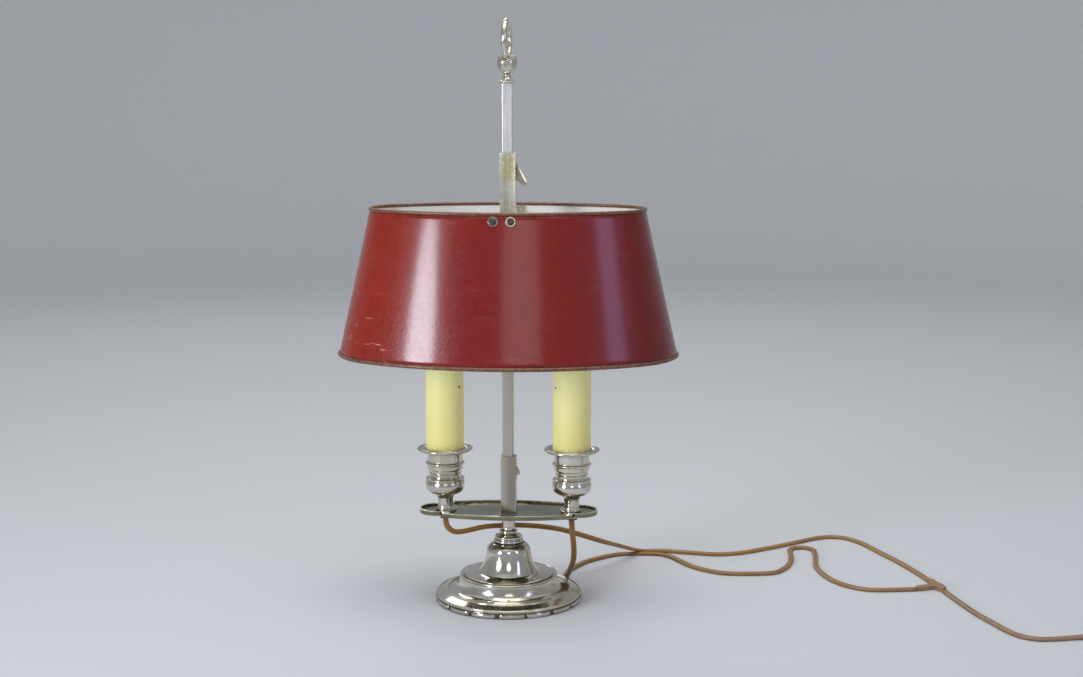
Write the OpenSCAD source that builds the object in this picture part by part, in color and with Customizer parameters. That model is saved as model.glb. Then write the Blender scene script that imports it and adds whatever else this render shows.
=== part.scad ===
// Bouillotte lamp with two electric candles, in millimetres.
// The origin is the centre of the underside. +Z is up, +X runs along the two candles and -Y is the front.
// The oval shade and the candle plate each slide on the square stem and are held by a sprung thumb lever.

/* [Overall] */
// Height from the table to the top of the ring handle
lamp_h = 560; // [460:1:680]
// Distance between the two candle axes
candle_spacing = 123; // [104:1:150]
// Gap between the top of the upper sleeve and the finial
shade_headroom = 65.2; // [20:0.1:120]

/* [Base] */
// Outer radius of the foot band
foot_r = 71.5; // [59:0.5:86]
// Height of the foot band
foot_h = 6; // [5:0.1:8]
// Thickness of the foot band
foot_t = 3; // [2:0.1:5]
// Number of lappets round the foot band
lappet_count = 16; // [8:1:24]
// Gap between two lappets
lappet_gap = 4.5; // [1:0.1:6]
// Height of the gap between two lappets
lappet_h = 4.5; // [2:0.1:4.8]
// Thickness of the spun sheet
sheet_t = 1.2; // [0.8:0.1:2]
// Width of the sloping ledge between the outer and the middle bead
ledge_w = 9; // [5:0.5:14]
// Rise of the sloping ledge
ledge_rise = 3.6; // [2:0.1:8]
// Width of the curved band between the middle and the inner bead
cove_w = 14.4; // [8:0.1:20]
// Rise of the curved band
cove_rise = 14.2; // [8:0.1:20]
// Radius of the beads on the base
bead_r = 1.1; // [0.6:0.1:1.8]
// Radius of the bell at its waist
bell_r = 21.5; // [17:0.1:27]
// Height of the bell
bell_h = 31; // [24:0.5:40]
// Height of the turned knop above the bell
knop_h = 27; // [22:0.1:36]
// Radius of the largest ring on the knop
knop_r = 14.6; // [12:0.1:18]
// Radius of the knop's neck
neck_r = 6.3; // [5.4:0.1:8]
// Clearance between the iron ballast and the shell round it
ballast_gap = 3.3; // [1:0.1:10]
// Thickness of the iron ballast
ballast_h = 15; // [10:0.5:17]
// Thickness of the base cover
cover_t = 1; // [0.8:0.1:2]
// Thickness of the felt pad
felt_t = 1.2; // [0.8:0.1:2]

/* [Stem and finial] */
// Width of the square bar
bar_w = 10.3; // [8:0.1:12]
// Chamfer on the bar's four edges
bar_chamfer = 0.8; // [0.2:0.1:2]
// Diameter of the threaded stud under the bar
stud_d = 8; // [6:0.1:9]
// Diameter of the threaded stud on top of the bar
top_stud_d = 4; // [3:0.1:5]
// Height of the finial's urn
urn_h = 25; // [20:0.5:32]
// Radius of the urn
urn_r = 9; // [7:0.1:12]
// Mean diameter of the ring handle
ring_d = 34.8; // [28:0.1:44]
// Thickness of the ring handle
ring_wire = 6.2; // [4:0.1:8]
// Turn of the ring handle from the front-to-back plane
ring_turn = -5; // [-45:1:45]

/* [Candle plate] */
// Radius of the round lobe at each end of the plate
lobe_r = 18; // [17.4:0.1:22]
// Distance of a lobe's centre beyond its candle's axis
lobe_shift = 7; // [6:0.1:7.4]
// Depth of the plate at its middle
plate_d = 66; // [56:0.5:78]
// Depth of the plate's middle panel at its ends
plate_end_d = 48; // [42:0.5:54]
// Thickness of the plate's floor
floor_t = 2.3; // [1.2:0.1:3]
// Height of the plate's raised rim above the floor
rim_h = 2; // [1:0.1:4]
// Radius of the four scrolls at the panel's corners
scroll_r = 4.5; // [3:0.1:6]
// Width of the raised rim
rim_w = 1.6; // [1:0.1:3]

/* [Nozzles, pans and candles] */
// Largest radius of the nozzle
nozzle_r = 19.2; // [17:0.1:24]
// Radius of the nozzle's foot
nozzle_foot_r = 9; // [8:0.1:9.6]
// Height of the nozzle
nozzle_h = 58; // [48:0.1:69]
// Wall of the nozzle
nozzle_t = 1.6; // [1:0.1:2.4]
// Radius of the drip pan
pan_r = 26.9; // [25:0.1:32]
// Height of the drip pan
pan_h = 4.6; // [3:0.1:7]
// Thickness of the drip pan
pan_t = 1.4; // [1:0.1:2]
// Outside diameter of the candle tube
tube_d = 36.8; // [35.8:0.1:40]
// Wall of the candle tube
tube_t = 1.2; // [0.8:0.1:1.6]
// Height of the candle tube
tube_h = 102.6; // [84:0.1:122]
// Outside diameter of the threaded nipple
nipple_d = 10; // [8:0.1:10.5]
// Wall of the threaded nipple
nipple_t = 1.4; // [1:0.1:2]
// Height of the lampholder
holder_h = 42; // [34:0.5:50]
// Wall of the lampholder
holder_t = 1.6; // [1.2:0.1:1.8]
// Thread diameter of the bulb's cap
cap_d = 26.4; // [26:0.1:27]
// Height of the bulb's cap
cap_h = 24; // [20:0.5:27]
// Diameter of the bulb's glass
bulb_d = 35; // [30:0.5:36]
// Height of the bulb's glass above its cap
bulb_h = 74; // [60:1:90]
// Wall of the bulb's glass
glass_t = 0.8; // [0.6:0.1:1.2]

/* [Shade] */
// Width of the shade at its top edge
shade_top_w = 262; // [220:1:314]
// Depth of the shade at its top edge
shade_top_d = 137; // [118:1:160]
// Radius of the shade's round ends at its top edge
shade_end_r = 45; // [40:0.5:50]
// How far the wall flares out from top to bottom
shade_flare = 31; // [22:0.5:40]
// Height of the shade between the middles of its two rims
shade_h = 138; // [115:1:166]
// Thickness of the shade's sheet
shade_t = 0.8; // [0.5:0.1:1.5]
// Thickness of the rolled rims
rim_d = 3.8; // [3:0.1:5]
// Height of the upper sleeve above the shade's top edge
sleeve_above_rim = 52.8; // [40:0.1:64]
// Width of the cross strap
strap_w = 24; // [20:0.5:30]
// Thickness of the cross strap
strap_t = 1.6; // [1:0.1:2.5]
// Height of the strap's end flanges
flange_h = 12; // [10:0.5:16]
// Distance between the two screws of a flange
screw_spacing = 16; // [12:0.5:17]
// Distance of the screws below the shade's top edge
screw_drop = 6.5; // [6:0.1:8]

/* [Sleeves and levers] */
// Clearance between the bar and each face of a sleeve
sleeve_play = 0.2; // [0.1:0.05:0.4]
// Thickness of a sleeve's plain walls
sleeve_wall = 1.6; // [1.2:0.1:2.4]
// Thickness of the sleeve wall that carries the lever
lever_wall = 2.6; // [2.3:0.1:3.4]
// Height of the upper sleeve
upper_sleeve_h = 74; // [68:1:88]
// Height of the lower sleeve above the plate's floor
lower_sleeve_h = 54; // [45:1:64]
// Thickness of a lever
lever_t = 3; // [2:0.1:4]
// Clearance on each side of a lever
lever_play = 0.9; // [0.5:0.1:1]
// Diameter of a lever's pin
lever_pin_d = 1.6; // [1.2:0.1:1.8]
// Running clearance round a lever's pin
pin_play = 0.04; // [0.02:0.01:0.08]

/* [Screws and nuts] */
// Diameter of the strap's screws
screw_d = 4; // [3:0.1:4.2]
// Diameter of the screw heads
screw_head_d = 7.4; // [6.4:0.1:8.6]
// Height of the screw heads
screw_head_h = 2.2; // [1.4:0.1:3]
// Diameter of the washers under the heads
washer_d = 9.4; // [8.8:0.1:11]
// Clearance round a screw or stud in its hole
hole_play = 0.1; // [0.05:0.05:0.4]

/* [Cord set] */
// Height of the flat twin cord
cord_t = 3.6; // [3:0.1:3.6]
// Diameter of the coil at the middle of its turns
coil_d = 64; // [60:1:70]
// Width of the coil's band of turns
coil_w = 12.6; // [11:0.1:24]
// Height of the coil's band of turns
coil_h = 7.4; // [4:0.1:8]
// Length of the in-line switch
switch_l = 50; // [46:1:56]
// Width of the in-line switch
switch_w = 25; // [23:1:28]
// Height of the in-line switch
switch_h = 17; // [16:0.5:20]
// Width of the plug
plug_w = 35; // [32:1:37]
// Height of the plug
plug_h = 14; // [13:0.5:16]
// Length of the plug's body
plug_l = 34; // [30:1:38]
// Diameter of the plug's pins
plug_pin_d = 4; // [4:0.1:4.8]
// Length of the plug's pins
plug_pin_l = 19; // [15:0.5:19]
// Distance between the plug's pins
plug_pin_spacing = 19; // [18:0.5:19]

/* [Hidden] */
$fn = 64;

candle_x = candle_spacing / 2;
contact = 0.1;            // the gap left where two loose pieces rest on each other
bend_steps = 6;           // straight pieces in one curved stretch of an outline

// Levels of the base and the stem, from the table up
ledge_r = foot_r - 2 - ledge_w;
saucer_r = ledge_r - cove_w;
ledge_z = foot_h + 1.2 + ledge_rise;
saucer_z = ledge_z + cove_rise;
bell_top_z = saucer_z + bell_h;
knop_top_z = bell_top_z + knop_h;
collar_h = 2.6;
collar_z = knop_top_z + contact;
plate_z = collar_z + collar_h;
floor_z = plate_z + floor_t;
ballast_top_z = saucer_z - sheet_t;
ballast_z = ballast_top_z - ballast_h;
ballast_r = saucer_r - 0.8 - ballast_gap;
nut_recess_h = 8.5;
stud_nut_h = 6.4;
stud_nut_w = 13;
stud_washer_t = 1.5;
finial_h = urn_h - 5 + ring_d / 2 + ring_wire / 2 + ring_d / 2 + ring_wire / 2;
stem_top_z = lamp_h - finial_h;
ring_z = lamp_h - ring_wire / 2 - ring_d / 2;

// Levels of the candles
pan_z = floor_z + nozzle_h;
well_z = pan_z + pan_t;
tube_top_z = well_z + tube_h;
holder_z = tube_top_z - 4 - holder_h;
holder_r = tube_d / 2 - tube_t - 1.2;
holder_floor_t = 8;
shell_t = 0.5;
shell_r = cap_d / 2 + 0.15;
cap_z = holder_z + holder_h - cap_h + 2;
glass_z = cap_z + cap_h;
nut_w = nipple_d + 4;
nut_h = 2.6;
nipple_washer_t = 1;
nipple_bottom_z = plate_z - nipple_washer_t - nut_h - 0.6;
bushing_h = 1.6;
bushing_z = nipple_bottom_z - bushing_h;
pin_angle = 35;           // the tube pins stand this far round from +X or -X towards the front
tube_pin_z = holder_z + 7;

// The shade's wall is four arcs that meet smoothly, and its centres stay put while the radii grow
slope = shade_flare / shade_h;
slant = atan(slope);
sleeve_top_z = stem_top_z - shade_headroom;
shade_top_z = sleeve_top_z - sleeve_above_rim;
shade_z = shade_top_z - shade_h;
end_x = shade_top_w / 2 - shade_end_r;
side_r = (end_x ^ 2 + (shade_top_d / 2) ^ 2 - shade_end_r ^ 2) / (shade_top_d - 2 * shade_end_r);
side_y = side_r - shade_top_d / 2;
side_angle = atan(end_x / side_y);
screw_z = shade_top_z - screw_drop;
flange_top_z = shade_top_z - rim_d / 2 - 0.3;
strap_z = flange_top_z - flange_h;
screw_angle = asin(screw_spacing / 2 / side_r);

// The sleeves
bore_half = bar_w / 2 + sleeve_play;
sleeve_left = bore_half + sleeve_wall;
sleeve_right = bore_half + lever_wall;
lever_pin_x = bore_half + lever_wall / 2;
slot_half = lever_t / 2 + lever_play;
upper_sleeve_z = sleeve_top_z - upper_sleeve_h;
upper_pivot_z = sleeve_top_z - 17.6;
lower_sleeve_top_z = floor_z + lower_sleeve_h;
lower_pivot_z = lower_sleeve_top_z - 15;

splice_at = [424, 55];
switch_at = [590, -95];
coil_at = [618, -165];
plug_at = [560, -230];    // where the plug's body meets its strain relief
relief_l = 20;            // length of the strain relief at each end of the switch
plug_relief_l = 20;
// Points along each cord, chosen by hand; the top of each lead follows its bushing
lead_z = bushing_z - contact;
cord_r = cord_t / 2;
lead_left_route = [
    [-candle_x, 0, lead_z], [-candle_x, 0, lead_z - 2.4], [-60.7, 0.4, 72.4],
    [-58.1, 1.6, 67.9], [-54.2, 3.5, 64.9], [-49.3, 5.9, 63.8], [-43, 8.7, 64.1], [-36, 11.5, 65.1],
    [-26, 15.2, 66.6], [-12, 20.5, 66.8], [7, 28, 65.6], [28, 40, 61.5], [48, 54, 55],
    [67, 72, 45], [87, 97, 32], [104, 124, 20], [115, 143, 12], [122.5, 157, 6.3],
    [134, 167, 2.2], [153, 170, 1.8], [180, 165, 1.8], [210, 160, 1.8], [235, 167, 1.8],
    [257, 181, 1.8], [280, 198, 1.8], [303, 216, 1.8], [320, 230, 1.8], [338, 237, 1.8],
    [355, 232, 1.8], [369, 213, 1.8], [384, 177, 1.8], [400, 138, 1.8], [413, 99, 1.8],
    [420, 74, 1.8]
];
lead_right_route = [
    [candle_x, 0, lead_z], [candle_x, 0, lead_z - 2.4],
    [62, 0, 69], [63, 2, 58], [63.5, 8, 46], [62.5, 17, 34], [59.5, 30, 22],
    [56, 44, 12], [54, 58, 4.5], [53, 74, 1.8], [56, 92, 1.8], [64, 110, 1.8],
    [76, 129, 1.8], [106, 154, 1.8], [142, 158, 1.8], [158, 151, 1.8], [169, 134, 1.8],
    [181, 114, 1.8], [197, 99, 1.8], [218, 89, 1.8], [260, 92, 1.8], [274, 105, 1.8],
    [283, 125, 1.8], [287.4, 148, 1.8], [288.4, 165, 1.8], [288.6, 178.4, 1.8],
    [290.3, 185.1, 1.8], [295.1, 189.9, 1.8], [301.5, 191.7, 1.8], [307.9, 189.9, 1.8],
    [312.7, 185.1, 1.8], [314.4, 178.4, 1.8], [314.4, 165, 1.8], [312.5, 144, 1.8],
    [311, 120, 1.8], [315, 93, 1.8], [325, 66, 1.8], [342, 47, 1.8], [362, 40, 1.8],
    [402, 45, 1.8]
];
main_lead_route = [
    [429, 40, 1.8], [433, 22, 1.8], [440, -6, 1.8], [447, -32, 1.8], [456, -56, 1.8],
    [465, -80, 1.8], [474, -95, 1.8], [487, -103, 1.8], [503, -102, 1.8], [519, -98, 1.8],
    [530, -96, 2.6], [537.5, -95.2, 3.7], [switch_at.x - switch_l / 2 - relief_l - contact, switch_at.y, 4]
];
switch_tail_route = [
    [switch_at.x + switch_l / 2 + relief_l + contact, switch_at.y, 4], [638.6, -95.1, 3.9],
    [643.5, -96.9, 3.1], [648.5, -101.3, 2.2], [652, -107.5, 1.8], [653.4, -115, 1.8],
    [654, -128, 1.8], [654, -142, 1.8], [653, -157, 1.8]
];
plug_tail_route = [
    [636, -195, 5.4], [625, -202, 4.4], [614, -210, 2.4], [605, -217.5, 2], [596, -225.6, 4],
    [587, -229.9, 6.9], [plug_at.x + plug_relief_l + contact, plug_at.y, plug_h / 2]
];
rocker_tilt = 8;          // the rocker rests on one side
rocker_l = 17;
rocker_w = 11;
rocker_pin_z = switch_h - 4.5;
rocker_pin_d = 2;
plug_shank_d = plug_pin_d + 1;
plug_shank_l = 10;

// A curve through three control points
function bend(a, b, c) = [
    for (i = [0 : bend_steps]) let (t = i / bend_steps)
        a * (1 - t) ^ 2 + b * 2 * t * (1 - t) + c * t ^ 2
];
function unit(v) = v / norm(v);
// A ring's sideways direction; it leans on the Y axis where the cord hangs straight down
function sideways(way) = unit(cross(way, norm([way.x, way.y]) < 0.5 ? [0, 1, 0] : [0, 0, 1]));

module turn(points) {
    rotate_extrude() polygon(points);
}
// Copies a left-hand piece at x = -candle_x, or a right-hand one at +candle_x
module at_candle(side) {
    translate([side * candle_x, 0, 0]) children();
}
module both_candles() {
    for (side = [-1, 1]) at_candle(side) children();
}
// A round tube through a route's points, as one polyhedron
module cord_tube(path) {
    sides = 8;
    last = len(path) - 1;
    rings = [
        for (i = [0 : last])
            let (
                way = unit(path[min(i + 1, last)] - path[max(i - 1, 0)]),
                across = sideways(way),
                over = cross(across, way)
            )
            for (k = [0 : sides - 1])
                let (turned = 360 * (k + 0.5) / sides)
                path[i] + cord_r * (across * cos(turned) + over * sin(turned))
    ];
    walls = [
        for (i = [0 : last - 1], k = [0 : sides - 1])
            let (a = i * sides + k, b = i * sides + (k + 1) % sides)
            each [[a, b, b + sides], [a, b + sides, a + sides]]
    ];
    start = [[for (k = [sides - 1 : -1 : 0]) k]];
    end = [[for (k = [0 : sides - 1]) last * sides + k]];
    polyhedron(rings, concat(walls, start, end));
}
module hexagon(width, height, hole) {
    difference() {
        cylinder(d = width / cos(30), h = height, $fn = 6);
        translate([0, 0, -1]) cylinder(d = hole, h = height + 2);
    }
}
module washer(outer, inner, height) {
    difference() {
        cylinder(d = outer, h = height);
        translate([0, 0, -1]) cylinder(d = inner, h = height + 2);
    }
}

// ---- Base ----

module foot_band() color("silver") {
    difference() {
        rotate_extrude() translate([foot_r - foot_t, 0]) square([foot_t, foot_h]);
        for (i = [0 : lappet_count - 1])
            rotate([0, 0, -94.5 + i * 360 / lappet_count])
                translate([foot_r - foot_t - 1, -lappet_gap / 2, -1])
                    cube([foot_t + 2, lappet_gap, lappet_h + 1]);
    }
}

module base_shell() color("silver") {
    outer = concat(
        [[foot_r - 0.6, foot_h], [foot_r - 0.6, foot_h + 1.2], [foot_r - 2.4, foot_h + 1.6]],
        [[ledge_r, ledge_z]],
        bend([ledge_r - 1, ledge_z], [saucer_r + 3.4, ledge_z + 0.4],
             [saucer_r + 2.2, ledge_z + cove_rise * 0.5]),
        [[saucer_r, saucer_z]]
    );
    inner = [
        [stud_d / 2 + hole_play, saucer_z], [stud_d / 2 + hole_play, saucer_z - sheet_t],
        [saucer_r - 0.8, saucer_z - sheet_t], [saucer_r + 0.9, ledge_z + cove_rise * 0.45],
        [saucer_r + 1.8, ledge_z + 1.2], [saucer_r + 4, ledge_z - 0.8],
        [ledge_r - 0.4, ledge_z - sheet_t], [foot_r - foot_t, foot_h]
    ];
    rotate_extrude() {
        polygon(concat(outer, inner));
        translate([foot_r - 1.8, foot_h + 1.2]) circle(r = bead_r);
        translate([ledge_r - 0.4, ledge_z - 0.2]) circle(r = bead_r);
        translate([saucer_r + 0.4, saucer_z - 0.4]) circle(r = bead_r);
    }
}

module base_bell() color("silver") {
    skirt_r = saucer_r - 2.5;
    foot = [bell_r + 6.8, saucer_z + 3.4];
    waist = [bell_r, saucer_z + bell_h * 0.74];
    shoulder = [bell_r - 6.2, bell_top_z];
    outer = concat(
        [[skirt_r, saucer_z], [skirt_r, saucer_z + sheet_t]],
        bend([skirt_r - 6, saucer_z + sheet_t + 0.3], [bell_r + 8.4, saucer_z + 1.6], foot),
        bend(foot + [-1, 1.6], waist - [-1.4, bell_h * 0.34], waist),
        bend(waist + [-0.2, 1.6], waist + [-1.2, bell_h * 0.2], shoulder)
    );
    wall = sheet_t + 0.2;
    inner = [
        [stud_d / 2 + hole_play, bell_top_z], [stud_d / 2 + hole_play, bell_top_z - 2 * sheet_t],
        [shoulder.x - 1.4, bell_top_z - 2 * sheet_t], [waist.x - wall - 1.2, waist.y + 4],
        [waist.x - wall, waist.y - 4], [foot.x - wall - 3.4, foot.y + 4],
        [foot.x - wall - 0.6, foot.y - 1], [skirt_r - 8, saucer_z]
    ];
    turn(concat(outer, inner));
}

module stem_knop() color("silver") {
    ring_z = bell_top_z + 2.6;
    small_z = bell_top_z + 6;
    bead_z = bell_top_z + 11.6;
    top_r = bar_w / 2 * sqrt(2) + 2.4;
    body = concat(
        [[stud_d / 2 + hole_play, bell_top_z], [knop_r - 1, bell_top_z], [knop_r - 1, bell_top_z + 5]],
        [[knop_r - 2, bell_top_z + 6.4]],
        bend([knop_r - 3.4, bell_top_z + 7.6], [neck_r + 2, bell_top_z + 8.4], [neck_r + 1.4, bead_z - 1]),
        bend([neck_r + 0.8, bead_z + 1.4], [neck_r, bead_z + 3], [neck_r, bead_z + 7]),
        bend([neck_r, knop_top_z - 6], [neck_r + 0.4, knop_top_z - 2.4], [top_r, knop_top_z - 1.2]),
        [[top_r, knop_top_z], [stud_d / 2 + hole_play, knop_top_z]]
    );
    rotate_extrude() {
        polygon(body);
        translate([knop_r - 1.5, ring_z]) circle(r = 1.5);
        translate([knop_r - 2.6, small_z]) circle(r = 1.3);
        translate([neck_r + 1, bead_z]) circle(r = 1.4);
    }
}

module ballast_weight() color("dimgray") {
    difference() {
        translate([0, 0, ballast_z]) cylinder(r = ballast_r, h = ballast_h);
        translate([0, 0, ballast_z - 1]) cylinder(d = stud_d + 2 * hole_play, h = ballast_h + 2);
        translate([0, 0, ballast_z - 1]) cylinder(r = stud_nut_w - 1, h = nut_recess_h + 1);
    }
}

module base_cover() color("dimgray") {
    translate([0, 0, felt_t]) cylinder(r = foot_r - foot_t - 0.2, h = cover_t);
}

module felt_pad() color("darkgreen") {
    cylinder(r = foot_r - foot_t - 1.5, h = felt_t);
}

module stem_washer() color("silver") {
    translate([0, 0, ballast_z + nut_recess_h - stud_washer_t])
        washer(stud_nut_w + 7, stud_d + 2 * hole_play, stud_washer_t);
}

module stem_nut() color("goldenrod") {
    translate([0, 0, ballast_z + nut_recess_h - stud_washer_t - stud_nut_h])
        hexagon(stud_nut_w, stud_nut_h, stud_d + 2 * hole_play);
}

// ---- Stem and finial ----

module stem_bar() color("silver") {
    half = bar_w / 2;
    inset = half - bar_chamfer;
    translate([0, 0, knop_top_z]) linear_extrude(stem_top_z - knop_top_z) polygon([
        [half, -inset], [half, inset], [inset, half], [-inset, half],
        [-half, inset], [-half, -inset], [-inset, -half], [inset, -half]
    ]);
    stud_z = ballast_z + 0.6;
    translate([0, 0, stud_z]) cylinder(d = stud_d, h = knop_top_z - stud_z);
    translate([0, 0, stem_top_z]) cylinder(d = top_stud_d, h = 5.6);
}

module finial_ring_shape(extra) {
    translate([0, 0, ring_z]) rotate([0, 90, ring_turn])
        rotate_extrude() translate([ring_d / 2, 0]) circle(d = ring_wire + extra);
}

module finial_urn() color("silver") {
    neck = [3.6, stem_top_z + 8.2];
    bore_r = top_stud_d / 2 + hole_play;
    profile = concat(
        [[bore_r, stem_top_z], [urn_r - 1.6, stem_top_z], [urn_r - 1.4, stem_top_z + 1.4]],
        bend([urn_r - 2.6, stem_top_z + 2.2], [neck.x + 0.2, neck.y - 3], neck),
        bend([neck.x + 1, neck.y + 1.6], [neck.x + 2.4, neck.y + 4.4], [urn_r - 1.4, neck.y + 7]),
        bend([urn_r - 0.4, neck.y + 8], [urn_r + 0.4, neck.y + 10.5], [urn_r - 1, stem_top_z + urn_h - 3.6]),
        [[urn_r - 2.2, stem_top_z + urn_h - 1], [0, stem_top_z + urn_h - 3]],
        [[0, stem_top_z + 6], [bore_r, stem_top_z + 6]]
    );
    difference() {
        turn(profile);
        finial_ring_shape(0.04);
    }
}

module finial_ring() color("silver") {
    finial_ring_shape(0);
}

// ---- Candle plate ----

module lobes(inset) {
    for (side = [-1, 1]) translate([side * (candle_x + lobe_shift), 0]) circle(r = lobe_r - inset);
}
module scrolls() {
    for (side = [-1, 1], front = [-1, 1])
        translate([side * (candle_x - 2.5), front * (plate_end_d / 2 - scroll_r + 0.7)])
            circle(r = scroll_r, $fn = 32);
}
// The middle panel between two wide arcs, drawn in from its edge by the inset
module panel(inset) {
    drop = (plate_d - plate_end_d) / 2;
    edge_r = (candle_x ^ 2 + drop ^ 2) / (2 * drop);
    intersection() {
        translate([0, edge_r - plate_d / 2]) circle(r = edge_r - inset, $fn = 180);
        translate([0, plate_d / 2 - edge_r]) circle(r = edge_r - inset, $fn = 180);
        square([2 * (candle_x - 2 - inset), plate_d], center = true);
    }
}

module candle_plate() color("silver") {
    rim_z = floor_z + rim_h;
    difference() {
        translate([0, 0, plate_z]) linear_extrude(rim_z - plate_z) {
            lobes(0);
            scrolls();
            panel(0);
        }
        translate([0, 0, floor_z]) linear_extrude(rim_h + 1) lobes(rim_w);
        translate([0, 0, floor_z]) linear_extrude(rim_h + 1) difference() {
            panel(rim_w);
            lobes(0);
            scrolls();
        }
        translate([-sleeve_left, -sleeve_left, plate_z - 1])
            cube([sleeve_left + sleeve_right, 2 * sleeve_left, floor_t + 2]);
        both_candles() translate([0, 0, plate_z - 1])
            cylinder(d = nipple_d + 2 * hole_play, h = floor_t + 2);
    }
}

// A square tube for the bar, with a slot in its right wall for the lever
module sleeve(bottom, top, pivot_z, slot_low, slot_high) {
    difference() {
        translate([-sleeve_left, -sleeve_left, bottom])
            cube([sleeve_left + sleeve_right, 2 * sleeve_left, top - bottom]);
        translate([-bore_half, -bore_half, bottom - 5])
            cube([2 * bore_half, 2 * bore_half, top - bottom + 10]);
        translate([0, -slot_half, pivot_z - slot_low])
            cube([sleeve_right + 1, 2 * slot_half, slot_low + slot_high]);
        lever_pin_shape(pivot_z, 0);
    }
}

module lower_sleeve() color("silver") {
    union() {
        sleeve(collar_z, lower_sleeve_top_z, lower_pivot_z, 9, 7.5);
        difference() {
            translate([-9, -9, collar_z]) cube([18, 18, collar_h]);
            translate([-sleeve_left, -sleeve_left, collar_z - 1])
                cube([sleeve_left + sleeve_right, 2 * sleeve_left, collar_h + 2]);
        }
    }
}

module lever_pin_shape(pivot_z, extra) {
    translate([lever_pin_x, 0, pivot_z]) rotate([90, 0, 0])
        cylinder(d = lever_pin_d + extra, h = 2 * sleeve_left - 0.6, center = true);
}

// A lever blade in the XZ plane; its outline is measured from the pivot
module lever(pivot_z, outline) {
    difference() {
        translate([lever_pin_x, lever_t / 2, pivot_z]) rotate([90, 0, 0])
            linear_extrude(lever_t) polygon(outline);
        lever_pin_shape(pivot_z, 2 * pin_play);
    }
}

// Two turns of spring wire round a pin, in the slot beside the lever
module lever_spring(pivot_z) {
    wire = 0.3;
    for (turn_y = [lever_t / 2 + 0.2, lever_t / 2 + 0.55])
        translate([lever_pin_x, turn_y, pivot_z]) rotate([90, 0, 0])
            rotate_extrude() translate([lever_pin_d / 2 + wire / 2 + 0.02, 0]) circle(d = wire, $fn = 16);
}

module lower_lever() color("peru") {
    face = -lever_wall / 2 - sleeve_play + 0.15;
    out = lever_wall / 2;
    lever(lower_pivot_z, concat(
        [[face, -0.4], [face, 5.4], [out, 5.9]],
        bend([out + 3.3, -0.6], [out + 4.4, -3.2], [out + 1.8, -3.6]),
        [[out - 0.4, -3.4], [-0.4, -1.7]]
    ));
}

module lower_lever_pin() color("silver") {
    lever_pin_shape(lower_pivot_z, 0);
}

module lower_lever_spring() color("gray") {
    lever_spring(lower_pivot_z);
}

// ---- Nozzles, pans and candles ----

module nozzle() {
    foot_r2 = nozzle_foot_r;
    lift = nozzle_h / 57.3;
    level = floor_z;
    bore_r = nipple_d / 2 + hole_play;
    outer = concat(
        [[foot_r2, level], [foot_r2, level + 2.2]],
        bend([foot_r2 - 1.2, level + 3], [7.1, level + 5 * lift], [7.3, level + 10 * lift]),
        bend([7.8, level + 12.6 * lift], [9.4, level + 15.4 * lift], [nozzle_r - 6.4, level + 16.6 * lift]),
        bend([nozzle_r - 4.4, level + 17.4 * lift], [nozzle_r, level + 20 * lift],
             [nozzle_r, level + 25.4 * lift]),
        bend([nozzle_r - 0.1, level + 26.4 * lift], [nozzle_r - 0.5, level + 29 * lift],
             [nozzle_r - 1.3, level + 29.8 * lift]),
        [[nozzle_r - 0.8, level + 30.6 * lift], [nozzle_r - 0.8, level + 31.8 * lift],
         [nozzle_r - 3.6, level + 32.6 * lift], [nozzle_r - 3.8, level + 36.4 * lift],
         [nozzle_r - 3.4, level + 37 * lift], [nozzle_r - 3.6, level + 39.8 * lift],
         [nozzle_r - 1.9, level + 41 * lift], [nozzle_r - 1.9, level + 44.8 * lift],
         [nozzle_r - 0.4, level + 45.8 * lift], [nozzle_r - 0.4, level + 47 * lift],
         [nozzle_r - 2.2, level + 48.2 * lift], [nozzle_r - 2.2, level + nozzle_h]]
    );
    inner = [
        [nozzle_r - 2.2 - nozzle_t, level + nozzle_h], [nozzle_r - 3.8 - nozzle_t, level + 40 * lift],
        [nozzle_r - 3.8 - nozzle_t, level + 32 * lift], [nozzle_r - 1.6 - nozzle_t, level + 25 * lift],
        [nozzle_r - 7 - nozzle_t, level + 19.5 * lift], [bore_r, level + 16 * lift], [bore_r, level]
    ];
    turn(concat(outer, inner));
}

module nozzle_left() color("silver") at_candle(-1) nozzle();
module nozzle_right() color("silver") at_candle(1) nozzle();

module pan() {
    seat_r = tube_d / 2 + 1.2;
    bore_r = nipple_d / 2 + hole_play;
    lip_z = pan_z + pan_h;
    turn(concat(
        [[bore_r, pan_z], [seat_r - 0.6, pan_z]],
        bend([seat_r + 1.2, pan_z + 0.4], [pan_r - 3.4, pan_z + 1], [pan_r - 0.5, lip_z - 1.2]),
        [[pan_r, lip_z - 0.7], [pan_r, lip_z - 0.2], [pan_r - 0.6, lip_z], [pan_r - 1.6, lip_z - 0.2]],
        bend([pan_r - 2.4, lip_z - 1.2], [seat_r + 2.4, well_z + 1], [seat_r + 0.6, well_z + 1.1]),
        [[seat_r, well_z + 0.9], [seat_r - 0.2, well_z], [bore_r, well_z]]
    ));
}

module pan_left() color("silver") at_candle(-1) pan();
module pan_right() color("silver") at_candle(1) pan();

module nozzle_nipples() color("goldenrod") {
    both_candles() translate([0, 0, nipple_bottom_z])
        washer(nipple_d, nipple_d - 2 * nipple_t, holder_z - nipple_bottom_z);
}

module nipple_washers() color("silver") {
    both_candles() {
        translate([0, 0, plate_z - nipple_washer_t])
            washer(nut_w + 6, nipple_d + 2 * hole_play, nipple_washer_t);
        translate([0, 0, well_z])
            washer(nut_w + 6, nipple_d + 2 * hole_play, nipple_washer_t);
    }
}

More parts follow.
